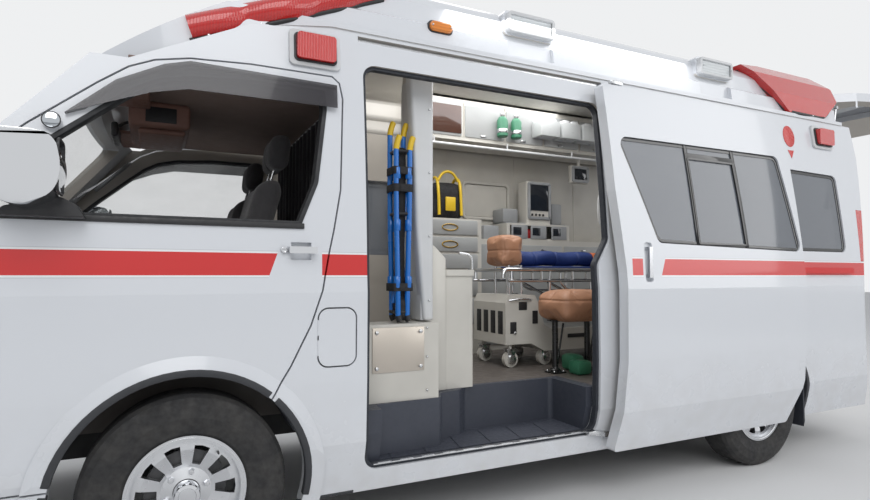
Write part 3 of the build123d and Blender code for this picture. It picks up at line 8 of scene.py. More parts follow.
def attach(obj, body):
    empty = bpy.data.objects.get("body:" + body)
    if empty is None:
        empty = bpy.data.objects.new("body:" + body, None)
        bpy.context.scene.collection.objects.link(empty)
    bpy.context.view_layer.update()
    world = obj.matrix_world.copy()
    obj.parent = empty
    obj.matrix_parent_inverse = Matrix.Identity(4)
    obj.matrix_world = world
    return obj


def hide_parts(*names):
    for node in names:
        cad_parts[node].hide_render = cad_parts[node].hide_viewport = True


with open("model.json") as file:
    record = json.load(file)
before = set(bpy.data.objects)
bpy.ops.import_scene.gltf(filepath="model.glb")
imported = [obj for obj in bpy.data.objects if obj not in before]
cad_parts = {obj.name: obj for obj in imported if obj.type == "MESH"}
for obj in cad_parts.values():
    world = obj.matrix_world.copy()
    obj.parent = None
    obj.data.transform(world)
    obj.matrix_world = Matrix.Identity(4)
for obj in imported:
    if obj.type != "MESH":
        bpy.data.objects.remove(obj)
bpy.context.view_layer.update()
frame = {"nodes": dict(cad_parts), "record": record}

# An ambulance on a high-roof van, seen from its left. Places along it count from the front
# axle, rearward, in metres, as X(place); its left side is at negative Y.
AXLE_X = -2.4175
AXLE_Z = 0.3465
WHEELBASE = 3.11
BODY_SIDES = ((-1, "left"), (1, "right"))
SCENE = bpy.context.scene
OPS = bpy.ops


def X(place):
    """A place counted from the front axle, in the frame's own X."""
    return place + AXLE_X


# Finishes

class Field:
    """A value that changes over a surface; sums on it add their Math nodes."""

    def __init__(self, finish, socket):
        self.finish = finish
        self.socket = socket

    def _sum(self, kind, *values):
        return self.finish.node("ShaderNodeMath", {"operation": kind}, dict(enumerate(values)))

    def __add__(self, other):
        return self._sum("ADD", self, other)

    __radd__ = __add__

    def __sub__(self, other):
        return self._sum("SUBTRACT", self, other)

    def __rsub__(self, other):
        return self._sum("SUBTRACT", other, self)

    def __mul__(self, other):
        return self._sum("MULTIPLY", self, other)

    __rmul__ = __mul__

    def __truediv__(self, other):
        return self._sum("DIVIDE", self, other)

    def __gt__(self, other):
        return self._sum("GREATER_THAN", self, other)

    def __lt__(self, other):
        return self._sum("LESS_THAN", self, other)

    def size(self):
        return self._sum("ABSOLUTE", self)

    def most(self, other):
        return self._sum("MAXIMUM", self, other)

    def sine(self):
        return self._sum("SINE", self)

    def over(self, low, high):
        """0 below low, 1 above high, and straight between them."""
        return self.finish.node("ShaderNodeMapRange", {"clamp": True}, {0: self, 1: low, 2: high})

    def within(self, low, high):
        return (self > low) * (self < high)


class Finish:
    """A node material, built round one Principled shader."""

    def __init__(self, name, colour=(0.8, 0.8, 0.8), **sockets):
        self.material = bpy.data.materials.new(name)
        self.material.use_nodes = True
        self.nodes = self.material.node_tree.nodes
        self.links = self.material.node_tree.links
        self.shader = self.nodes["Principled BSDF"]
        self.shader.inputs["Base Color"].default_value = (*colour, 1)
        for socket, value in sockets.items():
            self.shader.inputs[socket.replace("_", " ")].default_value = value
        coordinates = self.nodes.new("ShaderNodeTexCoord")
        self.place = Field(self, coordinates.outputs["Object"])
        self.facing = Field(self, coordinates.outputs["Normal"])

    def node(self, kind, settings=None, values=None, output=0):
        made = self.nodes.new(kind)
        for key, value in (settings or {}).items():
            if key == "stops":
                ramp = made.color_ramp
                for index, (at, colour) in enumerate(value):
                    stop = ramp.elements[index] if index < 2 else ramp.elements.new(at)
                    stop.position, stop.color = at, (*colour, 1)
            else:
                setattr(made, key, value)
        for key, value in (values or {}).items():
            self.feed(made.inputs[key], value)
        return Field(self, made.outputs[output])

    def feed(self, socket, value):
        if isinstance(value, Field):
            self.links.new(value.socket, socket)
        elif hasattr(value, "__len__") and len(value) == 3 and socket.type == "RGBA":
            socket.default_value = (*value, 1)
        else:
            socket.default_value = value

    def set(self, socket, value):
        self.feed(self.shader.inputs[socket], value)

    def axes(self, field):
        split = self.nodes.new("ShaderNodeSeparateXYZ")
        self.links.new(field.socket, split.inputs[0])
        return [Field(self, output) for output in split.outputs]

    def mix(self, share, one, other):
        """One colour where share is 0 and the other where it is 1."""
        return self.node("ShaderNodeMix", {"data_type": "RGBA"}, {0: share, 6: one, 7: other}, output=2)

    def noise(self, scale, detail=3.0, rough=0.5, place=None):
        return self.node("ShaderNodeTexNoise", None,
                         {"Vector": place or self.place, "Scale": scale, "Detail": detail,
                          "Roughness": rough})

    def stretched(self, x, y, z):
        return self.node("ShaderNodeMapping", None, {"Vector": self.place, "Scale": (x, y, z)})

    def bump(self, height, distance, strength=1.0):
        normal = self.node("ShaderNodeBump", None,
                           {"Height": height, "Distance": distance, "Strength": strength})
        self.set("Normal", normal)


def grain(finish, scale, distance, rough, strength=0.6):
    """Fine moulded or cast grain, with a little change of gloss."""
    field = finish.noise(scale, 4)
    finish.bump(field, distance, strength)
    finish.set("Roughness", finish.noise(scale / 9, 2).over(0.3, 0.7) * (rough[1] - rough[0]) + rough[0])
    return finish


FULL_TURN = 6.283
RED = (0.62, 0.012, 0.012)
WHITE = (0.69, 0.71, 0.745)
WHITE_SHADED = (0.64, 0.665, 0.705)
DUST = (0.42, 0.39, 0.35)
LINING = (0.42, 0.39, 0.35)
STRIPE_LOW, STRIPE_HIGH = 1.117, 1.2


def paint(name, stripes=(), trim=LINING):
    """White coachwork: red stripes on its sides between places along it, and trim on inner faces."""
    finish = Finish(name, WHITE, Roughness=0.26, Coat_Weight=0.6, Coat_Roughness=0.05)
    x, y, z = finish.axes(finish.place)
    nx, ny, nz = finish.axes(finish.facing)
    cloudy = finish.noise(1.4, 3)
    dust = (1 - z.over(0.24, 0.75)) * finish.noise(9, 4).over(0.3, 0.75)
    colour = finish.mix(cloudy * 0.18, WHITE, WHITE_SHADED)
    colour = finish.mix(dust * 0.3, colour, DUST)
    if stripes:
        band = z.within(STRIPE_LOW, STRIPE_HIGH) * (y.size() > 0.88)
        edge = z.within(STRIPE_LOW - 0.007, STRIPE_HIGH + 0.007) * (y.size() > 0.88)
        line = z.within(STRIPE_LOW - 0.010, STRIPE_HIGH + 0.010) * (y.size() > 0.88)
        length = None
        for low, high, slant in stripes:
            along = x - (z - 1.16) * slant
            here = along.within(X(low), X(high))
            length = here if length is None else length.most(here)
        colour = finish.mix(line * length * 0.5, colour, (0.45, 0.46, 0.48))
        colour = finish.mix(edge * length, colour, (0.82, 0.83, 0.84))
        colour = finish.mix(band * length, colour, RED)
    sign = y / (y.size() + 0.001)
    inward = ((ny * sign * -1) > 0.35) * (z > 0.3)
    ceiling = (nz < -0.4) * (z > 1.95)
    lined = inward.most(ceiling)
    colour = finish.mix(lined, colour, trim)
    finish.set("Roughness", lined * 0.4 + 0.24 + dust * 0.2)
    finish.set("Coat Weight", (1 - lined) * 0.6)
    finish.set("Base Color", colour)
    finish.bump(finish.noise(260, 2), 0.0004, 0.12)
    return finish.material


def plain(name, colour, rough, scale=500, distance=0.0006, strength=0.4, **sockets):
    """A finish of one colour with grain, patches of gloss and a little change of tone."""
    finish = Finish(name, colour, **sockets)
    tone = finish.noise(scale / 60, 3).over(0.3, 0.7)
    low = tuple(c * 0.88 for c in colour)
    finish.set("Base Color", finish.mix(tone, low, colour))
    return grain(finish, scale, distance, rough, strength).material


def lens(name, colour, across=90.0, upright=False, rough=0.12, alpha=1.0):
    """A moulded lens with fine flutes."""
    finish = Finish(name, colour, Roughness=rough, Coat_Weight=0.8, Coat_Roughness=0.04, IOR=1.49)
    x, y, z = finish.axes(finish.place)
    flutes = ((z if upright else x) * across * FULL_TURN).sine()
    finish.bump(flutes, 0.0015, 0.35)
    finish.set("Base Color", finish.mix(flutes.over(-1, 1) * 0.35, colour, tuple(c * 0.62 for c in colour)))
    if alpha < 1:
        finish.set("Alpha", alpha)
    return finish.material


def glazing(name, colour, alpha, rough=0.03):
    """Thin glass or clear plastic, with faint streaks in its gloss."""
    finish = Finish(name, colour, Roughness=rough, IOR=1.5, Coat_Weight=0.5, Coat_Roughness=0.02)
    streaks = finish.noise(3.0, 4, 0.6, finish.stretched(1, 1, 3))
    finish.set("Alpha", streaks.over(0.2, 0.8) * 0.05 + alpha)
    finish.set("Roughness", streaks * 0.04 + rough)
    return finish.material


def metal(name, colour, rough, brushed=None):
    """Bare or plated metal, its grain drawn out where it is brushed."""
    finish = Finish(name, colour, Metallic=1.0, Roughness=rough)
    place = finish.stretched(*brushed) if brushed else finish.place
    field = finish.noise(260 if brushed else 60, 3, 0.6, place)
    finish.set("Roughness", field * rough * 0.9 + rough * 0.55)
    finish.bump(field, 0.0003, 0.25)
    return finish.material


def tyre_rubber():
    """Black rubber with patches of road dust."""
    finish = Finish("tyre_rubber", (0.022, 0.022, 0.023), Roughness=0.78)
    dust = finish.noise(14, 5).over(0.4, 0.8)
    finish.set("Base Color", finish.mix(dust * 0.5, (0.02, 0.02, 0.021), (0.075, 0.07, 0.064)))
    return grain(finish, 420, 0.0006, (0.62, 0.9)).material


def rail_metal():
    """Bright rails and handle, with the red stripe where the centre rail shows beyond the sliding door."""
    finish = Finish("rail_metal", (0.62, 0.63, 0.65), Metallic=1.0, Roughness=0.25)
    x, y, z = finish.axes(finish.place)
    band = (x > X(2.4)) * z.within(STRIPE_LOW, STRIPE_HIGH)
    finish.set("Base Color", finish.mix(band, (0.62, 0.63, 0.65), RED))
    finish.set("Metallic", 1 - band)
    finish.bump(finish.noise(200, 3), 0.0003, 0.2)
    return finish.material


# A stripe runs from its first place to its second, its ends slanting by the third.
# Beyond the front and beyond the rear it doesn't end.
FRONT, REAR = -2.0, 9.0
FINISH = {"left_paint": paint("left_paint", ((FRONT, 0.285, 0.35), (0.47, 1.0, 0.0), (2.18, REAR, 0.0))),
          "nose_paint": paint("nose_paint", ((FRONT, REAR, 0.0),)),
          "right_paint": paint("right_paint", ((FRONT, REAR, 0.0),)),
          "sliding_paint": paint("sliding_paint", ((1.99, 2.06, 0.0), (2.20, REAR, 0.35))),
          "roof_paint": paint("roof_paint", trim=(0.62, 0.6, 0.56)), "plain_paint": paint("plain_paint"),
          "rail_metal": rail_metal(),
          "chassis_black": plain("chassis_black", (0.018, 0.018, 0.019), (0.45, 0.75), 160, 0.001),
          "cast_metal": plain("cast_metal", (0.16, 0.16, 0.165), (0.5, 0.8), 220, 0.001, 0.7, Metallic=0.6),
          "alloy": metal("alloy", (0.62, 0.63, 0.65), 0.32),
          "chrome": metal("chrome", (0.66, 0.67, 0.69), 0.07), "tyre": tyre_rubber(),
          "rubber": plain("seal_rubber", (0.028, 0.032, 0.042), (0.5, 0.75), 300, 0.0008),
          "black_plastic": plain("black_plastic", (0.02, 0.02, 0.022), (0.35, 0.6), 600, 0.0006),
          "step_plastic": plain("step_plastic", (0.05, 0.056, 0.075), (0.38, 0.62), 420, 0.0009),
          "cab_plastic": plain("cab_plastic", (0.16, 0.14, 0.125), (0.55, 0.75), 420, 0.0009),
          "cabinet": plain("cabinet_paint", (0.62, 0.6, 0.55), (0.3, 0.5), 240, 0.0004, 0.2),
          "floor": plain("floor_vinyl", (0.115, 0.1, 0.09), (0.35, 0.6), 180, 0.0006),
          "glass": glazing("clear_glass", (0.75, 0.82, 0.82), 0.16),
          "tinted_glass": glazing("tinted_glass", (0.16, 0.175, 0.2), 0.82),
          "smoked_plastic": glazing("smoked_plastic", (0.022, 0.019, 0.026), 0.7, 0.16),
          "red_lens": lens("red_lens", (0.6, 0.014, 0.012)),
          "clear_lens": lens("clear_lens", (0.7, 0.74, 0.76), 60, True, alpha=0.75),
          "cab_fabric": plain("cab_fabric", (0.055, 0.052, 0.055), (0.85, 0.98), 700, 0.0012, 0.8,
                              Sheen_Weight=0.3),
          "tan_vinyl": plain("tan_vinyl", (0.42, 0.21, 0.12), (0.4, 0.6), 260, 0.001, 0.5),
          "blue_cover": plain("blue_cover", (0.012, 0.035, 0.16), (0.5, 0.75), 160, 0.001, 0.6),
          "blue_tube": plain("blue_enamel", (0.005, 0.16, 0.58), (0.18, 0.3), 60, 0.0002, 0.2,
                             Coat_Weight=0.5),
          "white_plastic": plain("white_plastic", (0.66, 0.67, 0.68), (0.3, 0.5), 300, 0.0005, 0.25),
          "milky_plastic": plain("milky_plastic", (0.55, 0.57, 0.57), (0.25, 0.45), 200, 0.0005, 0.25),
          "black_gloss": plain("black_gloss", (0.008, 0.008, 0.009), (0.08, 0.2), 300, 0.0002, 0.1,
                               Coat_Weight=0.5),
          "black_enamel": plain("black_enamel", (0.012, 0.012, 0.013), (0.22, 0.4), 260, 0.0004, 0.3),
          "lip_grey": plain("lip_grey", (0.035, 0.037, 0.042), (0.45, 0.65), 420, 0.0007),
          "steel": metal("brushed_steel", (0.6, 0.61, 0.62), 0.26),
          "gold": metal("gold_plate", (0.55, 0.37, 0.1), 0.24),
          "tan_plate": metal("tan_plate", (0.56, 0.51, 0.45), 0.42, (60, 60, 1.5)),
          "amber_lens": lens("amber_lens", (0.75, 0.22, 0.01), 70, True),
          "red_reflector": plain("red_reflector", (0.6, 0.03, 0.025), (0.2, 0.35), 500, 0.0004, 0.3),
          "yellow_plastic": plain("yellow_plastic", (0.75, 0.5, 0.02), (0.35, 0.55), 300, 0.0006),
          "green_plastic": plain("green_plastic", (0.04, 0.2, 0.11), (0.3, 0.5), 300, 0.0006),
          "set_grey": plain("set_grey", (0.34, 0.35, 0.36), (0.35, 0.55), 400, 0.0006),
          "drawer_grey": plain("drawer_grey", (0.42, 0.43, 0.43), (0.3, 0.5), 240, 0.0004, 0.2),
          "mirror_glass": metal("mirror_glass", (0.5, 0.53, 0.56), 0.03),
          "screen": plain("screen_glass", (0.015, 0.02, 0.028), (0.05, 0.12), 60, 0.0001, 0.05,
                          Coat_Weight=0.6),
          "brown_acrylic": plain("brown_acrylic", (0.07, 0.025, 0.015), (0.05, 0.14), 60, 0.0001, 0.05,
                                 Coat_Weight=0.8),
          "brown_plastic": plain("brown_plastic", (0.26, 0.14, 0.11), (0.5, 0.7), 420, 0.0009),
          "headliner": plain("headliner_felt", (0.3, 0.22, 0.19), (0.85, 0.98), 800, 0.0012, 0.8),
          "grip_grey": plain("grip_grey", (0.2, 0.205, 0.21), (0.45, 0.65), 420, 0.0008),
          "curtain_cloth": plain("curtain_cloth", (0.022, 0.02, 0.024), (0.85, 0.98), 900, 0.001, 0.8,
                                 Sheen_Weight=0.3),
          "black_canvas": plain("black_canvas", (0.014, 0.014, 0.016), (0.7, 0.95), 700, 0.0014, 0.9),
          "webbing": plain("webbing", (0.018, 0.018, 0.02), (0.7, 0.9), 900, 0.001, 0.9),
          "orange_cover": plain("orange_cover", (0.52, 0.13, 0.04), (0.45, 0.65), 260, 0.0008, 0.5),
          "red_cloth": plain("red_cloth", (0.4, 0.02, 0.02), (0.7, 0.9), 700, 0.001, 0.8),
          "seal_rubber": plain("window_seal", (0.02, 0.021, 0.024), (0.5, 0.75), 300, 0.0008), }
# The slot that a finish stands in for, where a piece doesn't say otherwise.
NODE_FINISH = {
    "left_door": "left_paint", "left_side": "left_paint", "nose_body": "nose_paint",
    "right_door": "right_paint", "right_side": "right_paint", "sliding_door": "sliding_paint",
    "high_roof": "roof_paint", "rear_frame": "right_paint", "door_rails": "rail_metal",
}
for row in frame["record"]["subparts"]:
    name = row["node"]
    slot_name = row["material_slot"]
    finish = NODE_FINISH.get(name, "plain_paint" if slot_name == "white_paint" else slot_name)
    node = frame["nodes"][name]
    node.data.materials.clear()
    node.data.materials.append(FINISH[finish])


# Shapes made one by one

SHARP = math.radians(35)
SMOOTH_BELOW = math.radians(40)


def nothing_selected():
    OPS.object.select_all(action="DESELECT")


def take(piece):
    """Select one piece alone and make it the active one."""
    nothing_selected()
    piece.select_set(True)
    bpy.context.view_layer.objects.active = piece


def primitive(kind, **options):
    nothing_selected()
    getattr(OPS.mesh, f"primitive_{kind}_add")(**options)
    return bpy.context.object


def opened(piece):
    """Begin to edit one piece, all of it selected."""
    take(piece)
    OPS.object.mode_set(mode="EDIT")
    OPS.mesh.select_all(action="SELECT")


def closed():
    """End an edit, with the faces outward."""
    OPS.mesh.select_all(action="SELECT")
    OPS.mesh.normals_make_consistent(inside=False)
    OPS.object.mode_set(mode="OBJECT")


def rectangle(p0, p1, q0, q1):
    """The corners of an upright rectangle."""
    return [(p0, q0), (p1, q0), (p1, q1), (p0, q1)]


def ellipse(p, q, wide, high, steps=32):
    """The outline of an ellipse with half its width and half its height."""
    turns = [step * 2 * math.pi / steps for step in range(steps)]
    return [(p + wide * math.cos(turn), q + high * math.sin(turn)) for turn in turns]


def edged(piece, width=0.002, segments=2):
    """Round the sharp edges of a piece and shade it smooth between them."""
    take(piece)
    OPS.object.transform_apply(location=True, rotation=True, scale=True)
    if width:
        bevel = piece.modifiers.new("edges", "BEVEL")
        bevel.width = width
        bevel.segments = segments
        bevel.limit_method = "ANGLE"
        bevel.angle_limit = SHARP
        OPS.object.modifier_apply(modifier="edges")
    OPS.object.shade_smooth_by_angle(angle=SMOOTH_BELOW)
    return piece


def block(x, y, z, edge=0.003, segments=2):
    """A block between pairs of limits, with rounded edges."""
    middle = (X(sum(x) / 2), sum(y) / 2, sum(z) / 2)
    piece = primitive("cube", size=1, location=middle)
    piece.scale = (x[1] - x[0], y[1] - y[0], z[1] - z[0])
    return edged(piece, edge, segments)


VIEWS = {"side": (0, 2, 1), "front": (1, 2, 0), "top": (0, 1, 2)}


def along_axis(axis, value):
    return X(value) if axis == 0 else value


def plate(points, view, low, high, edge=0.002, corner=0.0, rim=0.0, segments=2):
    """An outline seen from the side, front or top, given a depth, or only its rim of that width."""
    piece = primitive("circle", vertices=len(points), fill_type="NGON")
    level, up, depth = VIEWS[view]
    for vertex, (p, q) in zip(piece.data.vertices, points):
        vertex.co[level] = along_axis(level, p)
        vertex.co[up] = q
        vertex.co[depth] = along_axis(depth, low)
    opened(piece)
    if corner:
        OPS.mesh.bevel(offset=corner, segments=5, affect="VERTICES")
        OPS.mesh.select_all(action="SELECT")
    if rim:
        OPS.mesh.inset(thickness=rim, use_even_offset=True)
        OPS.mesh.delete(type="FACE")
        OPS.mesh.select_all(action="SELECT")
    step = [0, 0, 0]
    step[depth] = high - low
    OPS.mesh.extrude_region_move(TRANSFORM_OT_translate={"value": step})
    closed()
    return edged(piece, edge, segments)


TURNS = {"left": (math.pi / 2, 0, 0), "right": (-math.pi / 2, 0, 0), "rear": (0, math.pi / 2, 0),
         "front": (0, -math.pi / 2, 0), "up": (0, 0, 0), "down": (math.pi, 0, 0)}


def turned(profile, centre, towards="left", steps=24, edge=0.0):
    """A turned form: rings of a radius at a height along its axis, one after the other."""
    radius, height = profile[0]
    piece = primitive("circle", vertices=steps, radius=radius, fill_type="NGON", location=(0, 0, height))
    opened(piece)
    for wide, high in profile[1:]:
        OPS.mesh.extrude_region_move(TRANSFORM_OT_translate={"value": (0, 0, high - height)})
        OPS.transform.resize(value=(wide / radius, wide / radius, 1), center_override=(0, 0, high))
        radius, height = wide, high
    closed()
    piece.rotation_euler = TURNS[towards]
    piece.location = (X(centre[0]), centre[1], centre[2])
    return edged(piece, edge)


def tube(points, radius, bend=True, sides=3):
    """A round tube through places, bent smoothly or in straight runs, with closed ends."""
    curve = bpy.data.curves.new("tube", "CURVE")
    curve.dimensions = "3D"
    spline = curve.splines.new("NURBS" if bend else "POLY")
    spline.points.add(len(points) - 1)
    for point, (x, y, z) in zip(spline.points, points):
        point.co = (X(x), y, z, 1)
    if bend:
        spline.order_u = 3
        spline.use_endpoint_u = True
    curve.resolution_u = 4
    curve.bevel_depth = radius
    curve.bevel_resolution = sides
    curve.use_fill_caps = True
    piece = bpy.data.objects.new("tube", curve)
    SCENE.collection.objects.link(piece)
    take(piece)
    OPS.object.convert(target="MESH")
    piece = bpy.context.object
    return edged(piece, 0)


def joined(pieces):
    """Several pieces of one finish made one piece."""
    nothing_selected()
    for piece in pieces:
        piece.select_set(True)
    bpy.context.view_layer.objects.active = pieces[0]
    if len(pieces) > 1:
        OPS.object.join()
    return pieces[0]


def across(piece):
    """A copy of a piece with its own mesh, on the other side of the vehicle."""
    copy = piece.copy()
    copy.data = piece.data.copy()
    SCENE.collection.objects.link(copy)
    copy.data.transform(Matrix.Diagonal((1, -1, 1, 1)))
    copy.data.flip_normals()
    return copy


def settle(name, finish, pieces, body="body", replaced=()):
    """Name a finished piece, give it its finish and slot, and let it ride on its body."""
    piece = joined(list(pieces) if isinstance(pieces, (list, tuple)) else [pieces])
    take(piece)
    OPS.object.transform_apply(location=True, rotation=True, scale=True)
    piece.name = name
    piece.data.name = name
    piece.data.materials.clear()
    piece.data.materials.append(FINISH[finish])
    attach(piece, body)
    if replaced:
        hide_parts(*replaced)
    return piece


def circle_through(one, two, three):
    """Centre and radius of the circle through three points."""
    (a, b), (c, d), (e, f) = one, two, three
    turn = 2 * (a * (d - f) + c * (f - b) + e * (b - d))
    p = ((a * a + b * b) * (d - f) + (c * c + d * d) * (f - b) + (e * e + f * f) * (b - d)) / turn
    q = ((a * a + b * b) * (e - c) + (c * c + d * d) * (a - e) + (e * e + f * f) * (c - a)) / turn
    return p, q, math.hypot(a - p, b - q)


WAIST_Z = 1.12
NOSE_END_X = -0.56
# The side wall in front view above the waist, and the nose in plan view.
SIDE_ARC = circle_through((0.938, WAIST_Z), (0.91, 1.57), (0.846, 2.15))
NOSE_ARC = circle_through((-1.04, 0.64), (-0.844, 0.862), (NOSE_END_X, 0.944))
# The side wall in front view below the waist: heights and how far it stands from the middle.
SIDE_LINE = ((0.24, 0.88), (0.455, 0.936), (0.7, 0.944), (1.05, 0.944), (WAIST_Z, 0.938))


def wall(x, z):
    """How far the van's side wall stands from the middle at a place."""
    if z >= WAIST_Z:
        y0, z0, radius = SIDE_ARC
        half = y0 + math.sqrt(max(radius * radius - (z - z0) ** 2, 0))
    else:
        half = SIDE_LINE[0][1]
        for (low, near), (high, far) in zip(SIDE_LINE, SIDE_LINE[1:]):
            if z >= low:
                half = near + (far - near) * (z - low) / (high - low)
    if x < NOSE_END_X:
        x0, y0, radius = NOSE_ARC
        half = min(half, y0 + math.sqrt(max(radius * radius - (x - x0) ** 2, 0)))
    return half


def on_wall(piece, side=-1, out=0.0, cuts=()):
    """Bend a piece drawn flat, its Y the height off the wall, to the wall of one side."""
    take(piece)
    OPS.object.mode_set(mode="EDIT")
    for height in cuts:
        OPS.mesh.select_all(action="SELECT")
        OPS.mesh.bisect(plane_co=(0, 0, height), plane_no=(0, 0, 1))
    OPS.object.mode_set(mode="OBJECT")
    for vertex in piece.data.vertices:
        x, y, z = vertex.co
        vertex.co.y = side * (wall(x - AXLE_X, z) + y + out)
    if side < 0:
        piece.data.flip_normals()
    return piece


def reach(origin, direction, nodes):
    """Where a line first meets any of some CAD nodes."""
    best = None
    for name in nodes:
        hit, place, _, _ = frame["nodes"][name].ray_cast(Vector(origin), Vector(direction))
        if hit and (best is None or (place - Vector(origin)).length < (best - Vector(origin)).length):
            best = place
    return best


def screw(x, y, z, towards="left", radius=0.006):
    """A small domed screw head with a ring."""
    return turned([(radius, -0.004), (radius, 0.0012), (radius * 0.86, 0.003), (radius * 0.5, 0.0042),
                   (radius * 0.12, 0.0045)], (x, y, z), towards, 12)


def arch_lips():
    """Dark lips round the wheel arches, split where the front doors' own edges cross them."""
    parts = {"body": [], "left_door": [], "right_door": []}
    # Hub, radius, first and last angle, and whether the door carries it.
    runs = ((0.0, 0.42, -10, 46, False), (0.0, 0.42, 50, 167, True), (0.0, 0.42, 171, 178, False),
            (WHEELBASE, 0.41, -12, 192, False))
    for side, name in BODY_SIDES:
        for hub, radius, first, last, on_door in runs:
            section = rectangle(radius - 0.004, radius + 0.021, -0.03, 0.003)
            piece = primitive("circle", vertices=4, fill_type="NGON")
            for vertex, (far, out) in zip(piece.data.vertices, section):
                angle = math.radians(first)
                vertex.co = (X(hub) + far * math.cos(angle), out, AXLE_Z + far * math.sin(angle))
            opened(piece)
            OPS.mesh.spin(steps=max(4, (last - first) // 5), angle=math.radians(last - first),
                          center=(X(hub), 0, AXLE_Z), axis=(0, 1, 0))
            OPS.mesh.select_all(action="SELECT")
            OPS.mesh.remove_doubles(threshold=0.00005)
            closed()
            on_wall(piece, side, 0.014)
            parts[f"{name}_door" if on_door else "body"].append(edged(piece, 0.003))
    for body, pieces in parts.items():
        settle(f"arch_lips_{body}", "lip_grey", pieces, body)


def window_rings():
    """Dark borders and division bars on the side windows, and seals round the front windows."""
    front = [(-0.655, 1.31), (-0.655, 1.372), (-0.455, 1.56), (-0.285, 1.706), (-0.195, 1.78),
             (-0.118, 1.822), (-0.01, 1.848), (0.201, 1.866), (0.49, 1.866), (0.496, 1.79), (0.456, 1.48),
             (0.388, 1.31)]
    cuts = (1.4, 1.5, 1.6, 1.7, 1.8)
    for side, name in BODY_SIDES:
        seal = plate(front, "side", -0.055, 0.004, 0.003, 0.012, 0.016)
        settle(f"{name}_door_seal", "seal_rubber", on_wall(seal, side, 0, cuts), f"{name}_door")
        belt = plate(rectangle(-0.66, 0.4, 1.296, 1.318), "side", -0.02, 0.010, 0.004)
        settle(f"{name}_belt_strip", "black_plastic", on_wall(belt, side), f"{name}_door")
    panel = [(1.943, 1.817), (2.176, 1.281), (3.347, 1.256), (3.202, 1.825)]
    slid = plate(panel, "side", -0.0118, -0.009, 0.0005, 0.04, 0.02)
    on_wall(slid, -1, 0.103, cuts)
    posts = ([(2.42, 1.82), (2.445, 1.82), (2.492, 1.27), (2.466, 1.27)],
             [(2.792, 1.82), (2.817, 1.82), (2.882, 1.265), (2.856, 1.265)],
             [(2.43, 1.752), (2.812, 1.752), (2.809, 1.775), (2.43, 1.775)])
    bars = [plate(post, "side", -0.0118, -0.006, 0.001) for post in posts]
    vent = [(2.436, 1.752), (2.806, 1.752), (2.866, 1.278), (2.476, 1.278)]
    bars.append(plate(vent, "side", -0.0118, -0.003, 0.002, 0.012, 0.012))
    for bar in bars:
        on_wall(bar, -1, 0.103, cuts)
    settle("sliding_window_bars", "black_gloss", [slid] + bars)
    rear = [(2.13, 1.268), (2.13, 1.815), (3.965, 1.78), (3.995, 1.268)]
    near = [(0.72, 1.268), (0.72, 1.815), (1.93, 1.815), (1.93, 1.268)]
    rings = [on_wall(plate(rear, "side", -0.0118, -0.009, 0.0005, 0.04, 0.022), side, 0, cuts)
             for side in (-1, 1)]
    rings.append(on_wall(plate(near, "side", -0.0118, -0.009, 0.0005, 0.04, 0.022), 1, 0, cuts))
    post = [(3.41, 1.8), (3.45, 1.8), (3.48, 1.27), (3.44, 1.27)]
    rings += [on_wall(plate(post, "side", -0.0118, -0.007, 0.001), side, 0, cuts) for side in (-1, 1)]
    vent = [(1.15, 1.3), (1.15, 1.78), (1.6, 1.78), (1.6, 1.3)]
    rings.append(on_wall(plate(vent, "side", -0.0118, -0.003, 0.002, 0.012, 0.014), 1, 0, cuts))
    settle("side_window_borders", "black_gloss", rings)


def lamp_mounts():
    """White pads and black bezels round the red flashers, housings of the flood lamps and side markers."""
    pads, bezels, domes, markers = [], [], [], []
    for side, towards in BODY_SIDES:
        for x in (0.372, 3.785):
            outline = rectangle(x - 0.026, x + 0.184, 1.955, 2.109)
            pads.append(on_wall(plate(outline, "side", -0.004, 0.014, 0.005, 0.022), side, 0, (2.0, 2.06)))
            outline = rectangle(x - 0.008, x + 0.166, 1.972, 2.092)
            bezel = plate(outline, "side", 0.006, 0.024, 0.002, 0.018, 0.009)
            bezels.append(on_wall(bezel, side, 0, (2.0, 2.06)))
        for x in (1.433, 2.79):
            outline = rectangle(x - 0.014, x + 0.27, 2.318, 2.422)
            ring = plate(outline, "side", side * 0.778, side * 0.822, 0.004, 0.02, 0.017, 3)
            pads.append(ring)
            bezels.append(plate(rectangle(x - 0.002, x + 0.258, 2.326, 2.414),
                                "side", side * 0.79, side * 0.8135, 0.0015, 0.008, 0.007))
            for spot in (x + 0.006, x + 0.25):
                domes.append(screw(spot, side * 0.822, 2.37, towards, 0.004))
        outline = rectangle(0.985, 1.115, 2.234, 2.292)
        bezels.append(plate(outline, "side", side * 0.796, side * 0.812, 0.002, 0.026))
        outline = rectangle(0.992, 1.108, 2.24, 2.286)
        markers.append(plate(outline, "side", side * 0.806, side * 0.828, 0.008, 0.022, segments=4))
        for spot in (1.003, 1.097):
            domes.append(screw(spot, side * 0.828, 2.263, towards, 0.004))
    settle("lamp_pads", "white_plastic", pads, "body")
    settle("lamp_bezels", "black_plastic", bezels)
    settle("lamp_screws", "steel", domes)
    settle("amber_markers", "amber_lens", markers)


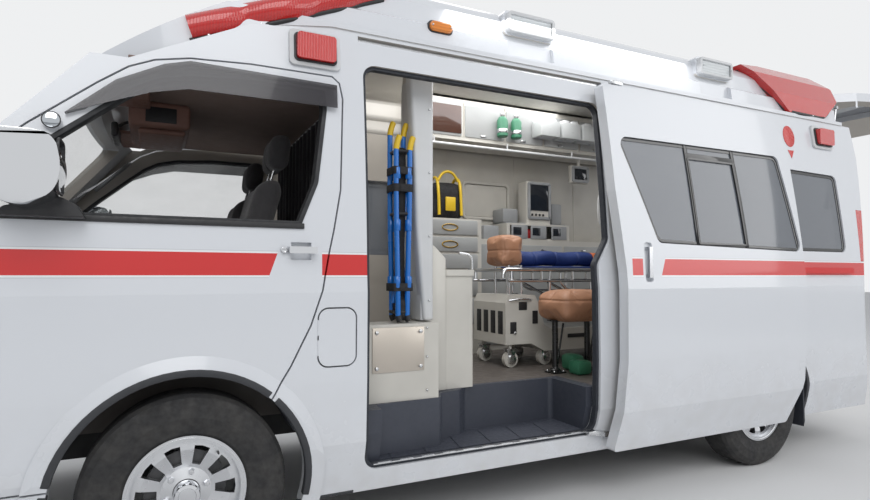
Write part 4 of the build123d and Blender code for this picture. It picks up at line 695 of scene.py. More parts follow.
def beacon_bases():
    """Black seals with screws along the lower edges of the red roof lamps."""
    seals, screws = [], []
    arcs = (((0.8, 0.73), (0.45, 0.64), (0.2, 0.52), (0.03, 0.34), (-0.06, 0.17)),
            ((0.8, 0.64), (0.5, 0.53), (0.34, 0.35), (0.25, 0.17)))
    for arc in arcs:
        line = [*arc, (arc[-1][0] - 0.02 if arc is arcs[0] else 0.23, 0.0),
                *[(x, -y) for x, y in reversed(arc)]]
        fine = []
        for (x0, y0), (x1, y1) in zip(line, line[1:]):
            fine += [(x0 + (x1 - x0) * k / 4, y0 + (y1 - y0) * k / 4) for k in range(4)]
        fine.append(line[-1])
        places = []
        for x, y in fine:
            hit = reach((X(x), y, 3.2), (0, 0, -1), ("high_roof",))
            places.append((x, y, hit.z + 0.004))
        seals.append(tube(places, 0.011 if arc is arcs[0] else 0.008))
        if arc is arcs[0]:
            screws += [screw(x - 0.004, y * 1.01, z + 0.006, "up", 0.006) for x, y, z in places[1::4]]
    for side, towards in BODY_SIDES:
        line = [(3.26, 2.45), (3.4, 2.336), (3.5, 2.252), (3.56, 2.195), (3.62, 2.174), (3.8, 2.178),
                (3.96, 2.184), (4.06, 2.256), (4.11, 2.3)]
        places = []
        for x, z in line:
            hit = reach((X(x), side * 1.5, z), (0, -side, 0), ("high_roof", "left_side", "right_side"))
            places.append((x, hit.y + side * 0.004, z))
        seals.append(tube(places, 0.011))
        screws += [screw(x, y + side * 0.008, z, towards, 0.005) for x, y, z in places[1:-1:2]]
    settle("beacon_seals", "black_plastic", seals)
    settle("beacon_screws", "steel", screws)


def red_marks():
    """A red disc and a small red triangle on the rear quarter, on both sides."""
    marks = []
    for side in (-1, 1):
        ring = ellipse(3.52, 2.008, 0.056, 0.07)
        marks.append(on_wall(plate(ring, "side", -0.001, 0.0025, 0.0008), side, 0, (1.96, 2.0, 2.04)))
        marks.append(on_wall(plate([(3.49, 1.915), (3.55, 1.915), (3.52, 1.862)], "side", -0.001, 0.002,
                                   0.0005), side))
    settle("red_marks", "red_reflector", marks)


def wheels():
    """A bright ring, cap and nuts on each wheel, with a valve."""
    hubs = [(f"{end}_{towards}_wheel", x, side, towards, face)
            for end, x, face in (("front", 0.0, 0.90), ("rear", WHEELBASE, 0.898))
            for side, towards in BODY_SIDES]
    for body, x, side, towards, face in hubs:
        z = AXLE_Z
        ring = primitive("torus", major_radius=0.193, minor_radius=0.007, major_segments=72,
                         minor_segments=10, location=(X(x), side * (face + 0.004), z),
                         rotation=(math.pi / 2, 0, 0))
        edged(ring, 0)
        cap = turned([(0.044, -0.05), (0.044, -0.008), (0.041, -0.003), (0.03, 0.0), (0.028, -0.003),
                      (0.01, -0.001)], (x, side * (face - 0.006), z), towards, 40)
        nuts = []
        for turn in range(6):
            angle = turn * math.pi / 3 + 0.3
            nuts.append(turned([(0.0115, -0.03), (0.0115, 0.012), (0.009, 0.017), (0.003, 0.018)],
                               (x + 0.071 * math.cos(angle), side * (face - 0.05),
                                z + 0.071 * math.sin(angle)), towards, 6))
        settle(f"{body}_trim", "chrome", [ring, cap] + nuts, body)
        angle = 0.9
        valve = turned([(0.004, -0.02), (0.004, 0.012), (0.003, 0.02), (0.001, 0.021)],
                       (x + 0.165 * math.cos(angle), side * (face - 0.02), z + 0.165 * math.sin(angle)),
                       towards, 10)
        settle(f"{body}_valve", "black_plastic", valve, body)


PRESSURE = 4
MOMENTS = 20


def remeshed(piece, voxel):
    """Give a piece an even mesh, for the simulation."""
    take(piece)
    remesh = piece.modifiers.new("even", "REMESH")
    remesh.mode = "VOXEL"
    remesh.voxel_size = voxel
    OPS.object.modifier_apply(modifier="even")
    return piece


def pad(low, high, edge, voxel, shape=None):
    """The start of a cushion: a rounded block a little smaller than its place, remeshed evenly."""
    slack = 0.006
    piece = block((low[0] + slack, high[0] - slack), (low[1] + slack, high[1] - slack),
                  (low[2] + slack, high[2] - slack), edge, 5)
    if shape:
        opened(piece)
        OPS.mesh.subdivide(number_cuts=4)
        OPS.object.mode_set(mode="OBJECT")
        for vertex in piece.data.vertices:
            shape(vertex.co)
    return remeshed(piece, voxel)


def puff(pads, most=0.012):
    """Blow the cushions up a little as cloth, no point moving further than the most, and smooth them."""
    for piece in pads:
        cloth = piece.modifiers.new("cloth", "CLOTH")
        cloth.settings.use_pressure = True
        cloth.settings.uniform_pressure_force = PRESSURE
        cloth.settings.effector_weights.gravity = 0
        cloth.point_cache.frame_end = MOMENTS
    for moment in range(1, MOMENTS + 1):
        SCENE.frame_set(moment)
    graph = bpy.context.evaluated_depsgraph_get()
    for piece in pads:
        blown = [vertex.co.copy() for vertex in piece.evaluated_get(graph).data.vertices]
        for vertex, place in zip(piece.data.vertices, blown):
            step = place - vertex.co
            if step.length > most:
                step *= most / step.length
            vertex.co += step
        piece.modifiers.remove(piece.modifiers["cloth"])
    SCENE.frame_set(1)
    for piece in pads:
        take(piece)
        smooth = piece.modifiers.new("smooth", "SUBSURF")
        smooth.levels = 1
        smooth.render_levels = 1
        OPS.object.modifier_apply(modifier="smooth")
        OPS.object.shade_smooth()


def seam(piece, axis, place, depth=0.004, width=0.005):
    """Press a sewn seam into a cushion where it crosses a plane."""
    middle = sum((vertex.co for vertex in piece.data.vertices), Vector()) / len(piece.data.vertices)
    for vertex in piece.data.vertices:
        off = (vertex.co[axis] - place) / width
        if abs(off) < 2.5:
            inward = middle - vertex.co
            inward[axis] = 0
            vertex.co += inward.normalized() * depth * math.exp(-off * off)


def cab_seats():
    """The front seats: cushion, leaning back and headrest on two posts, each side alike."""
    def crowned(co):
        side = abs(co.y - 0.37) / 0.25
        co.z -= 0.018 * side * side * (co.z > 0.9)
        co.z += 0.012 * (side > 0.7)

    def leaning(co):
        rise = (co.z - 0.97) / 0.6
        co.x += 0.165 * rise
        co.y = 0.37 + (co.y - 0.37) * (1 - 0.14 * max(rise, 0) ** 2)
        co.x += 0.014 * (1 - ((co.y - 0.37) / 0.24) ** 2) * (co.x < X(0.22 + 0.165 * rise))

    def head_tilt(co):
        co.x += 0.1 * (co.z - 1.69)

    cushion = pad((-0.33, 0.125, 0.82), (0.17, 0.615, 0.965), 0.045, 0.011, crowned)
    back = pad((0.128, 0.135, 0.972), (0.243, 0.605, 1.56), 0.045, 0.012, leaning)
    head = pad((0.34, 0.24, 1.6), (0.445, 0.5, 1.775), 0.04, 0.009, head_tilt)
    puff([cushion, back, head], 0.014)
    seam(cushion, 1, 0.24, 0.006)
    seam(cushion, 1, 0.5, 0.006)
    seam(back, 1, 0.25, 0.006)
    seam(back, 1, 0.49, 0.006)
    seam(back, 2, 1.33, 0.005)
    seam(head, 1, 0.37, 0.003)
    for label, piece in (("seat_cushion", cushion), ("seat_back", back), ("headrest", head)):
        other = across(piece)
        for side, each in (("right", piece), ("left", other)):
            settle(f"{side}_{label}", "cab_fabric", each, replaced=("cab_seats",))
    posts = [tube([(0.35, side * y, 1.53), (0.363, side * y, 1.58), (0.385, side * y, 1.66)], 0.006)
             for side in (-1, 1) for y in (0.31, 0.43)]
    settle("headrest_posts", "steel", posts)


def patient_seat():
    """The tan attendant's seat: a thick folding cushion on two legs with foot plates."""
    def bulged(co):
        co.z += 0.01 * (1 - ((co.x - X(2.095)) / 0.2) ** 2) * (co.z > 0.94)

    cushion = pad((1.89, -0.64, 0.86), (2.3, -0.35, 1.02), 0.045, 0.0075, bulged)
    puff([cushion], 0.012)
    seam(cushion, 2, 0.975, 0.006, 0.006)
    seam(cushion, 0, X(2.2), 0.005, 0.006)
    settle("attendant_cushion", "tan_vinyl", cushion, replaced=("attendant_seat",))
    legs = []
    for x in (1.955, 2.19):
        legs.append(tube([(x, -0.47, 0.566), (x, -0.47, 0.7), (x, -0.47, 0.862)], 0.017, False))
        legs.append(tube([(x, -0.47, 0.62), (x + 0.02, -0.47, 0.64), (x + 0.06, -0.47, 0.84)], 0.006, False))
        legs.append(block((x - 0.045, x + 0.045), (-0.515, -0.425), (0.5602, 0.569), 0.003))
        legs.append(turned([(0.03, 0.0), (0.03, 0.012), (0.02, 0.02), (0.018, 0.03)], (x, -0.47, 0.566),
                           "up", 20))
    legs.append(block((1.92, 2.27), (-0.5, -0.44), (0.853, 0.862), 0.002))
    settle("attendant_seat_legs", "black_enamel", legs, replaced=("attendant_seat",))
    bolts = [screw(x + dx, -0.47 + dy, 0.569, "up", 0.006) for x in (1.955, 2.19) for dx in (-0.032, 0.032)
             for dy in (-0.032, 0.032)]
    settle("attendant_seat_bolts", "steel", bolts)


COT_RAILS_Y = (-0.255, 0.175)
COT_POSTS_Y = (-0.19, 0.11)


def patient_cot():
    """The wheeled cot: chrome side rails on posts, a deck, a rolled mattress and a brown head cushion."""
    rails = []
    for y in COT_RAILS_Y:
        rails.append(tube([(1.742, y, 1.10), (1.742, y, 1.15), (1.80, y, 1.152), (3.58, y, 1.152),
                           (3.637, y, 1.15), (3.637, y, 1.10)], 0.0125))
        rails.append(tube([(1.785, y, 1.083), (2.6, y, 1.083), (3.6, y, 1.083)], 0.0095, False))
        for x in (1.80, 2.02, 2.26, 2.5, 2.74, 2.98, 3.22, 3.58):
            rails.append(tube([(x, y, 1.083), (x, y, 1.15)], 0.0075, False, 2))
        rails.append(tube([(2.09, y, 1.15), (2.09, y * 0.96, 1.06), (2.09, y * 0.96, 0.985)], 0.0095))
        fold = -1 if y < 0 else 1
        rails.append(tube([(2.16, y, 1.083), (2.2, y + fold * 0.008, 1.02), (2.34, y + fold * 0.008, 1.01),
                           (2.9, y + fold * 0.008, 1.01), (3.02, y + fold * 0.008, 1.02), (3.06, y, 1.083)],
                          0.008))
        for x in (2.4, 2.62, 2.84):
            rails.append(tube([(x, y + fold * 0.008, 1.01), (x, y, 1.083)], 0.005, False, 2))
    for x in (1.752, 2.5, 3.628):
        rails.append(tube([(x, -0.255, 1.15), (x, 0.175, 1.15)], 0.0115, False))
    for x in (1.86, 1.95):
        rails.append(tube([(x, -0.255, 1.15), (x, 0.175, 1.15)], 0.0085, False))
        for y in (-0.14, 0.02):
            rails.append(tube([(x, y, 1.0), (x, y, 1.18)], 0.0085, False))
    for x in (2.5, 3.58):
        for y in COT_POSTS_Y:
            rails.append(tube([(x, y, 0.786), (x, y, 1.15)], 0.0105, False))
        rails.append(tube([(x, -0.255, 1.15), (x, 0.175, 1.15)], 0.0088, False))
    for y in COT_POSTS_Y:
        rails.append(tube([(2.12, y, 1.075), (2.5, y, 0.9), (2.9, y, 0.82), (3.56, y, 0.81)], 0.009, False))
    settle("cot_rails", "chrome", rails, replaced=("cot",))
    deck = [block((1.992, 3.61), (-0.245, 0.165), (1.16, 1.174), 0.004)]
    for k in range(9):
        deck.append(block((2.06 + k * 0.17, 2.10 + k * 0.17), (-0.25, 0.17), (1.156, 1.162), 0.002))
    settle("cot_deck", "blue_cover", deck, replaced=("cot",))
    casters, tyres = [], []
    for y in COT_RAILS_Y:
        tyres.append(turned([(0.03, -0.015), (0.043, -0.015), (0.046, -0.009), (0.046, 0.009), (0.043, 0.015),
                             (0.03, 0.015)], (2.09, y, 0.935), "left", 32))
        casters.append(turned([(0.026, -0.018), (0.026, 0.018), (0.012, 0.022), (0.008, 0.022)],
                              (2.09, y, 0.935), "left", 24))
        for out in (-0.021, 0.021):
            casters.append(plate([(2.06, 0.99), (2.12, 0.99), (2.104, 0.925), (2.076, 0.925)], "side",
                                 y + out - 0.002, y + out + 0.002, 0.001, 0.008))
        casters.append(block((2.055, 2.125), (y - 0.024, y + 0.024), (0.986, 0.994), 0.002))
    settle("cot_caster_forks", "steel", casters, replaced=("cot",))
    settle("cot_caster_wheels", "black_plastic", tyres, replaced=("cot",))

    def sagging(co):
        turn = math.atan2(co.z - 1.2304, co.y + 0.04)
        co.z += 0.004 * math.sin(co.x * 23) - 0.004
        co.y += 0.005 * math.sin(co.x * 17 + turn)

    roll = turned([(0.02, 0.0), (0.04, 0.004), (0.049, 0.02), (0.05, 0.08), (0.049, 0.2), (0.05, 0.35),
                   (0.049, 0.5), (0.05, 0.585)], (1.995, -0.04, 1.2304), "rear", 32)
    tip = turned([(0.05, 0.0), (0.05, 0.05), (0.046, 0.072), (0.03, 0.08), (0.01, 0.081)],
                 (2.582, -0.04, 1.2304), "rear", 32)
    ready = []
    for piece, voxel in ((roll, 0.0065), (tip, 0.006)):
        remeshed(piece, voxel)
        for vertex in piece.data.vertices:
            sagging(vertex.co)
        ready.append(piece)

    def boxed(co):
        co.x += 0.02 * (co.z - 1.27)

    head = pad((1.79, -0.17, 1.176), (1.965, 0.05, 1.37), 0.03, 0.006, boxed)
    puff([*ready, head], 0.008)
    for place in (2.1, 2.27, 2.45):
        seam(roll, 0, X(place), 0.006, 0.007)
    seam(head, 1, -0.155, 0.004, 0.004)
    seam(head, 1, 0.035, 0.004, 0.004)
    seam(head, 2, 1.272, 0.004, 0.006)
    for name, piece, finish in (("cot_roll", roll, "blue_cover"), ("cot_roll_end", tip, "orange_cover"),
                                ("cot_head_cushion", head, "tan_vinyl")):
        settle(name, finish, piece, replaced=("cot",))


def cot_base():
    """Slots, latches and silver casters on the cot's moulded base."""
    dark, bright, casters = [], [], []
    for x, z, wide, high in ((1.9, 0.93, 0.06, 0.05), (1.99, 0.86, 0.04, 0.08), (2.32, 0.735, 0.16, 0.025),
                             (2.62, 0.735, 0.16, 0.025), (2.92, 0.735, 0.16, 0.025),
                             (1.83, 0.8, 0.045, 0.07)):
        for y in (-0.2305, 0.1505):
            dark.append(block((x - wide / 2, x + wide / 2), (y - 0.003, y + 0.003),
                              (z - high / 2, z + high / 2), 0.0028))
    for k in range(4):
        dark.append(block((1.7735, 1.7775), (-0.2 + 0.085 * k, -0.145 + 0.085 * k), (0.76, 0.9), 0.0018))
    for x in (1.84, 2.5, 3.4):
        for y in (-0.233, 0.153):
            bright.append(screw(x, y, 0.77, "left" if y < 0 else "right", 0.009))
    bright.append(tube([(1.80, -0.232, 0.965), (1.83, -0.25, 0.972), (1.93, -0.25, 0.972),
                        (1.96, -0.232, 0.965)], 0.006))
    for x in (1.83, 2.08, 3.83):
        for y in COT_POSTS_Y:
            for out in (-0.019, 0.019):
                bright.append(plate([(x - 0.03, 0.668), (x + 0.03, 0.668), (x + 0.018, 0.6),
                                     (x - 0.018, 0.6)], "side", y + out - 0.0018, y + out + 0.0018, 0.001,
                                    0.006))
            bright.append(block((x - 0.034, x + 0.034), (y - 0.026, y + 0.026), (0.664, 0.672), 0.002))
            casters.append(turned([(0.02, -0.0165), (0.026, -0.018), (0.026, 0.018), (0.01, 0.021)],
                                  (x, y, 0.6084), "left", 20))
    settle("cot_base_slots", "black_plastic", dark)
    settle("cot_base_fittings", "steel", bright)
    settle("cot_base_caster_hubs", "steel", casters)


def stretcher():
    """The folded stretcher: bright blue tubes, a folded black cloth, straps and yellow and black handles."""
    tubes, grips, yellow, straps, bright = [], [], [], [], []
    for x, lean in ((0.866, 0.012), (0.934, -0.012)):
        for y in (-0.724, -0.646):
            top = 1.70 if y < -0.7 else 1.78
            tubes.append(tube([(x + lean, y, 0.93), (x + lean * 0.6, y, 1.2), (x, y, 1.45), (x, y, top)],
                              0.0125))
            for z in (1.06, 1.32, 1.56):
                tubes.append(turned([(0.0135, 0.0), (0.0158, 0.003), (0.0158, 0.05), (0.0135, 0.053)],
                                    (x + lean * 0.5, y, z), "up", 20))
            yellow.append(tube([(x, y, top - 0.005), (x + 0.004, y, top + 0.03),
                                (x + 0.018, y + 0.004, top + 0.058)], 0.0138))
            grips.append(tube([(x + lean, y, 0.935), (x + lean + 0.004, y, 0.917),
                               (x + lean + 0.008, y, 0.912)], 0.0145))
    tubes.append(tube([(0.868, -0.686, 0.99), (0.9, -0.686, 1.2), (0.932, -0.686, 1.5)], 0.0095))
    tubes.append(tube([(0.93, -0.69, 1.0), (0.9, -0.69, 1.3), (0.87, -0.69, 1.62)], 0.0095))
    for z in (0.95, 1.40, 1.69):
        for y in (-0.724, -0.646):
            bright.append(tube([(0.87, y, z), (0.93, y, z)], 0.0075, False))
        for x in (0.868, 0.932):
            bright.append(tube([(x, -0.72, z), (x, -0.65, z)], 0.0075, False))
    settle("stretcher_tubes", "blue_tube", tubes, replaced=("folded_stretcher",))
    settle("stretcher_links", "black_enamel", bright, replaced=("folded_stretcher",))
    settle("stretcher_handles", "yellow_plastic", yellow, replaced=("folded_stretcher",))
    settle("stretcher_feet", "black_plastic", grips, replaced=("folded_stretcher",))

    def folded(co):
        co.x += 0.003 * math.sin(co.z * 40 + co.y * 60)
        co.y += 0.004 * math.sin(co.z * 31)

    cloth = pad((0.868, -0.712, 0.945), (0.932, -0.658, 1.72), 0.014, 0.0065, folded)
    lump = pad((0.868, -0.735, 0.903), (0.95, -0.64, 1.02), 0.024, 0.006)
    puff([cloth, lump], 0.006)
    settle("stretcher_cloth", "black_canvas", cloth, replaced=("folded_stretcher",))
    settle("stretcher_bundle", "black_canvas", lump, replaced=("folded_stretcher",))
    for z in (1.58, 1.50, 1.045):
        ring = rectangle(0.8505, 0.9495, -0.737, -0.633)
        straps.append(plate(ring, "top", z, z + 0.036, 0.0008, 0.014, 0.0022))
        straps.append(block((0.88, 0.915), (-0.7395, -0.7365), (z + 0.002, z + 0.034), 0.0012))
    settle("stretcher_straps", "webbing", straps, replaced=("folded_stretcher",))


def room_linings():
    """The room's side lining with its joints and hatch, its ceiling panel and the cab's rear wall."""
    lining = [plate(rectangle(1.47, 3.95, 1.392, 2.085), "side", 0.79, 0.806, 0.004, 0.02)]
    lining.append(block((1.49, 3.9), (-0.60, 0.42), (2.392, 2.402), 0.003))
    lining.append(block((0.645, 0.655), (-0.78, 0.78), (0.835, 1.91), 0.003))
    for x in (1.9, 2.52, 3.14):
        lining.append(block((x - 0.004, x + 0.004), (0.7865, 0.7905), (1.40, 2.08), 0.0015))
    lining.append(plate(rectangle(2.03, 2.47, 1.56, 1.86), "side", 0.768, 0.79, 0.005, 0.045, 0.022))
    lining.append(plate(rectangle(2.055, 2.445, 1.585, 1.835), "side", 0.78, 0.79, 0.003, 0.03))
    settle("room_lining", "cabinet", lining)


def bulkhead():
    """The bulkhead panel with its curved moulding, the screwed plate below, and their screws."""
    panel = [plate([(-0.645, 0.5605), (-0.645, 2.1), (-0.60, 2.16), (-0.33, 2.185), (-0.305, 2.1),
                    (-0.305, 0.5605)], "front", 1.062, 1.086, 0.006)]
    panel.append(plate([(1.062, 0.5605), (1.162, 0.5605), (1.162, 1.2), (1.1, 1.26), (1.062, 1.27)], "side",
                       -0.649, -0.62, 0.008))
    settle("bulkhead_panel", "cabinet", panel, replaced=("partition",))
    edge = [(0.935, 2.10), (0.95, 1.85), (0.962, 1.6), (0.972, 1.34), (0.99, 1.14), (1.01, 0.905),
            (1.06, 0.905), (1.06, 2.10)]
    trim = [plate(edge, "side", -0.72, -0.652, 0.016, segments=4),
            plate([(-0.70, 0.906), (-0.70, 2.09), (-0.46, 2.09), (-0.46, 0.906)], "front", 1.0, 1.0615,
                  0.006)]
    settle("bulkhead_trim", "white_plastic", trim)
    sheet = block((0.738, 0.986), (-0.7745, -0.7705), (0.69, 0.886), 0.0015)
    settle("screwed_plate", "tan_plate", sheet)
    spots = [(x, z) for x in (0.757, 0.967) for z in (0.71, 0.866)]
    heads = [screw(x, -0.7745, z, "left", 0.009) for x, z in spots]
    heads += [screw(1.0, -0.7708, z, "left", 0.005) for z in (0.6, 0.75, 0.88)]
    heads += [screw(1.035, -0.72, z, "left", 0.005) for z in (1.0, 1.3, 1.6, 1.9)]
    settle("room_screws", "steel", heads)


def drawers():
    """Drawer and locker fronts with their pulls and latches, and the handle on the low cupboard."""
    pulls, hollows = [], []
    for z in (1.455, 1.335):
        outline = ellipse(1.74, z, 0.066, 0.027)
        pulls.append(plate(outline, "side", 0.417, 0.4295, 0.003, 0, 0.009))
        hollows.append(plate([(1.74 + 0.9 * (x - 1.74), z + 0.9 * (h - z)) for x, h in outline], "side",
                             0.4255, 0.4297, 0.001))
    settle("drawer_pulls", "gold", pulls)
    settle("drawer_pull_wells", "tan_plate", hollows)
    fronts = [plate(rectangle(1.535, 1.965, z0, z1), "side", 0.4225, 0.4296, 0.002, 0.012)
              for z0, z1 in ((1.405, 1.508), (1.286, 1.387), (1.166, 1.267), (0.97, 1.148), (0.77, 0.952))]
    fronts += [plate(rectangle(x, x + 0.38, 0.6, 1.35), "side", 0.5325, 0.5396, 0.002, 0.012)
               for x in (2.03, 2.43, 2.83, 3.2)]
    fronts += [plate(rectangle(x, x + 0.33, 2.112, 2.345), "side", 0.4225, 0.4296, 0.002, 0.012)
               for x in (1.508, 1.865, 2.215, 2.565, 2.915, 3.265)]
    settle("drawer_fronts", "drawer_grey", fronts)
    tinted = [plate(rectangle(1.60, 1.832, 2.128, 2.33), "side", 0.417, 0.4225, 0.002, 0.01)]
    settle("locker_door", "brown_acrylic", tinted)
    latches = [block((x, x + 0.045), (0.4145, 0.4225), (2.122, 2.136), 0.003)
               for x in (1.99, 2.34, 2.69, 3.04, 3.39)]
    latches += [block((x, x + 0.05), (0.526, 0.5325), (1.31, 1.322), 0.003) for x in (2.2, 2.6, 3.0, 3.35)]
    latches.append(tube([(1.335, -0.6, 1.146), (1.335, -0.6, 1.2), (1.32, -0.6, 1.225),
                         (1.26, -0.6, 1.228)], 0.007))
    settle("room_latches", "steel", latches)


def medical_sets():
    """Monitors and sets with their screens and buttons."""
    set_frames, screens, buttons = [], [], []
    for x0, x1, z0, z1, face in ((2.505, 2.725, 1.56, 1.855, 0.57), (2.905, 3.075, 1.875, 2.005, 0.52)):
        outline = rectangle(x0, x1, z0, z1)
        set_frames.append(plate(outline, "side", face - 0.012, face + 0.002, 0.004, 0.018, 0.02))
        glass = [(x0 + 0.022, z0 + 0.07 * (z0 < 1.7)), (x1 - 0.022, z0 + 0.07 * (z0 < 1.7)),
                 (x1 - 0.022, z1 - 0.022), (x0 + 0.022, z1 - 0.022)]
        screens.append(plate(glass, "side", face - 0.006, face - 0.001, 0.0015, 0.006))
        for k in range(4):
            buttons.append(turned([(0.009, -0.002), (0.009, 0.004), (0.006, 0.006)],
                                (x0 + 0.04 + k * 0.035, face - 0.004, z0 + 0.035), "left", 16))
    for x in (2.34, 2.52, 2.72):
        set_frames.append(block((x, x + 0.15), (0.548, 0.556), (1.402, 1.508), 0.003))
        screens.append(block((x + 0.015, x + 0.09), (0.5455, 0.549), (1.43, 1.49), 0.002))
    set_frames.append(block((2.32, 2.9), (0.6, 0.78), (1.5205, 1.53), 0.003))
    set_frames.append(block((2.12, 2.26), (0.6, 0.78), (1.3902, 1.5), 0.012))
    set_frames.append(block((2.31, 2.45), (0.62, 0.78), (1.531, 1.64), 0.012))
    set_frames.append(block((2.78, 2.88), (0.62, 0.78), (1.531, 1.7), 0.012))
    settle("medical_sets", "set_grey", set_frames)
    settle("set_screens", "screen", screens)
    settle("set_buttons", "black_plastic", buttons)


def wall_stores():
    """Clear bins with wrapped packs, and green suction bottles with their caps."""
    bins = []
    for x in (2.44, 2.64, 2.84):
        tray = block((x, x + 0.18), (0.30, 0.42), (2.16, 2.28), 0.008)
        take(tray)
        OPS.object.mode_set(mode="EDIT")
        OPS.mesh.select_all(action="DESELECT")
        OPS.object.mode_set(mode="OBJECT")
        for face in tray.data.polygons:
            face.select = face.normal.z > 0.9
        OPS.object.mode_set(mode="EDIT")
        OPS.mesh.inset(thickness=0.006)
        OPS.mesh.extrude_region_move(TRANSFORM_OT_translate={"value": (0, 0, -0.09)})
        OPS.object.mode_set(mode="OBJECT")
        bins.append(tray)
        bins.append(block((x + 0.01, x + 0.17), (0.415, 0.4225), (2.2, 2.3), 0.002))
    settle("wall_bins", "milky_plastic", bins)
    packs = [block((x, x + 0.07), (0.32, 0.40), (2.2, 2.31), 0.018) for x in (2.46, 2.54, 2.67, 2.75, 2.88)]
    settle("wrapped_packs", "white_plastic", packs)
    bottles, caps = [], []
    for x in (2.15, 2.27):
        bottles.append(turned([(0.034, 0.0), (0.04, 0.006), (0.04, 0.12), (0.026, 0.145), (0.014, 0.15)],
                              (x, 0.375, 2.13), "up", 28))
        caps.append(turned([(0.042, 0.0), (0.042, 0.03)], (x, 0.375, 2.155), "up", 28, 0.002))
        caps.append(turned([(0.017, 0.0), (0.019, 0.004), (0.019, 0.03), (0.012, 0.034)], (x, 0.375, 2.278),
                           "up", 20))
        caps.append(block((x - 0.02, x + 0.02), (0.41, 0.423), (2.17, 2.2), 0.002))
    settle("suction_bottles", "green_plastic", bottles)
    settle("bottle_caps", "steel", caps)


def grab_rails():
    """The grab handle inside the door, the rail along the lockers and two small cases."""
    rail = [tube([(2.15, -0.83, 1.6), (2.13, -0.75, 1.6), (2.078, -0.72, 1.57), (2.068, -0.72, 1.48),
                  (2.078, -0.72, 1.39), (2.14, -0.75, 1.36), (2.16, -0.83, 1.36)], 0.0125)]
    rail += [tube([(x, 0.39, 2.04), (x, 0.39, 2.084)], 0.006, False) for x in (1.6, 2.2, 2.8, 3.4)]
    rail.append(tube([(1.55, 0.39, 2.04), (2.5, 0.39, 2.036), (3.5, 0.39, 2.04)], 0.0095))
    settle("grab_rails", "white_plastic", rail)
    boxes = [block((2.0, 2.1), (-0.62, -0.52), (0.5605, 0.64), 0.02),
             block((2.06, 2.15), (-0.5, -0.38), (0.5605, 0.655), 0.025)]
    settle("small_cases", "green_plastic", boxes)


def carry_bag():
    """A yellow and black bag with two handles on the drawer chest."""
    def slumped(co):
        rise = (co.z - 1.52) / 0.3
        co.x = X(1.78) + (co.x - X(1.78)) * (1 - 0.14 * rise * rise)
        co.y = 0.6 + (co.y - 0.6) * (1 - 0.3 * rise * rise)

    bag = pad((1.64, 0.5, 1.5215), (1.92, 0.7, 1.80), 0.05, 0.0075, slumped)
    puff([bag], 0.01)
    seam(bag, 0, X(1.70), 0.005)
    seam(bag, 0, X(1.86), 0.005)
    settle("carry_bag", "black_canvas", bag)
    bands = [tube([(x, 0.493, 1.55), (x, 0.5, 1.72), (x + 0.01, 0.55, 1.83), (x + 0.01, 0.64, 1.83),
                   (x, 0.69, 1.7), (x, 0.7, 1.55)], 0.011) for x in (1.69, 1.87)]
    bands.append(tube([(1.70, 0.53, 1.80), (1.73, 0.53, 1.87), (1.83, 0.53, 1.87), (1.86, 0.53, 1.80)], 0.01))
    bands.append(block((1.74, 1.82), (0.484, 0.5), (1.58, 1.68), 0.006))
    settle("bag_bands", "yellow_plastic", bands)

    red = pad((2.44, 0.56, 1.3915), (2.60, 0.7, 1.49), 0.03, 0.0065)
    puff([red], 0.008)
    settle("red_case", "red_cloth", red)


def cab_fittings():
    """The cab: headliner, brown console with sun visors, mirror and grips."""
    liner = block((-0.22, 0.63), (-0.79, 0.79), (1.918, 1.928), 0.003)
    settle("cab_headliner", "headliner", liner)
    console = [block((-0.24, 0.02), (-0.24, 0.24), (1.80, 1.918), 0.022, 4),
               block((-0.2, 0.0), (-0.2, 0.2), (1.775, 1.80), 0.012, 3)]
    for y in (-0.46, 0.46):
        console.append(block((-0.31, -0.15), (y - 0.19, y + 0.19), (1.866, 1.884), 0.008, 3))
    settle("overhead_console", "brown_plastic", console)
    dark = [block((-0.243, -0.236), (-0.15, 0.15), (1.83, 1.88), 0.003),
            block((-0.17, -0.04), (-0.245, -0.238), (1.82, 1.89), 0.003),
            block((-0.315, -0.285), (-0.12, 0.12), (1.765, 1.835), 0.012, 3),
            tube([(-0.3, 0, 1.83), (-0.27, 0, 1.86), (-0.23, 0, 1.87)], 0.007)]
    settle("cab_mirror_and_panels", "black_plastic", dark)
    grips = []
    for side in (-1, 1):
        grips.append(tube([(-0.44, side * 0.76, 1.62), (-0.42, side * 0.71, 1.63), (-0.33, side * 0.70, 1.72),
                           (-0.28, side * 0.71, 1.77), (-0.27, side * 0.75, 1.79)], 0.011))
    settle("cab_grips", "grip_grey", grips)


def cab_curtain():
    """The pleated curtain behind the cab seats, hung from its rail."""
    columns = 220
    curtain = primitive("grid", x_subdivisions=columns, y_subdivisions=16, size=1)
    low, high, wide = 1.02, 1.905, 0.77
    for vertex in curtain.data.vertices:
        share, up = vertex.co.x + 0.5, vertex.co.y + 0.5
        pleat = math.sin(share * 34 * math.pi)
        deep = 0.012 + 0.006 * (1 - up) + 0.002 * math.sin(share * 50)
        vertex.co = (X(0.62) + deep * pleat, -wide + 2 * wide * share, low + (high - low) * up)
    edged(curtain, 0)
    OPS.object.shade_smooth()
    settle("cab_curtain", "curtain_cloth", curtain)
    pole = tube([(0.62, -0.79, 1.91), (0.62, 0.79, 1.91)], 0.007, False)
    settle("curtain_rail", "steel", pole)


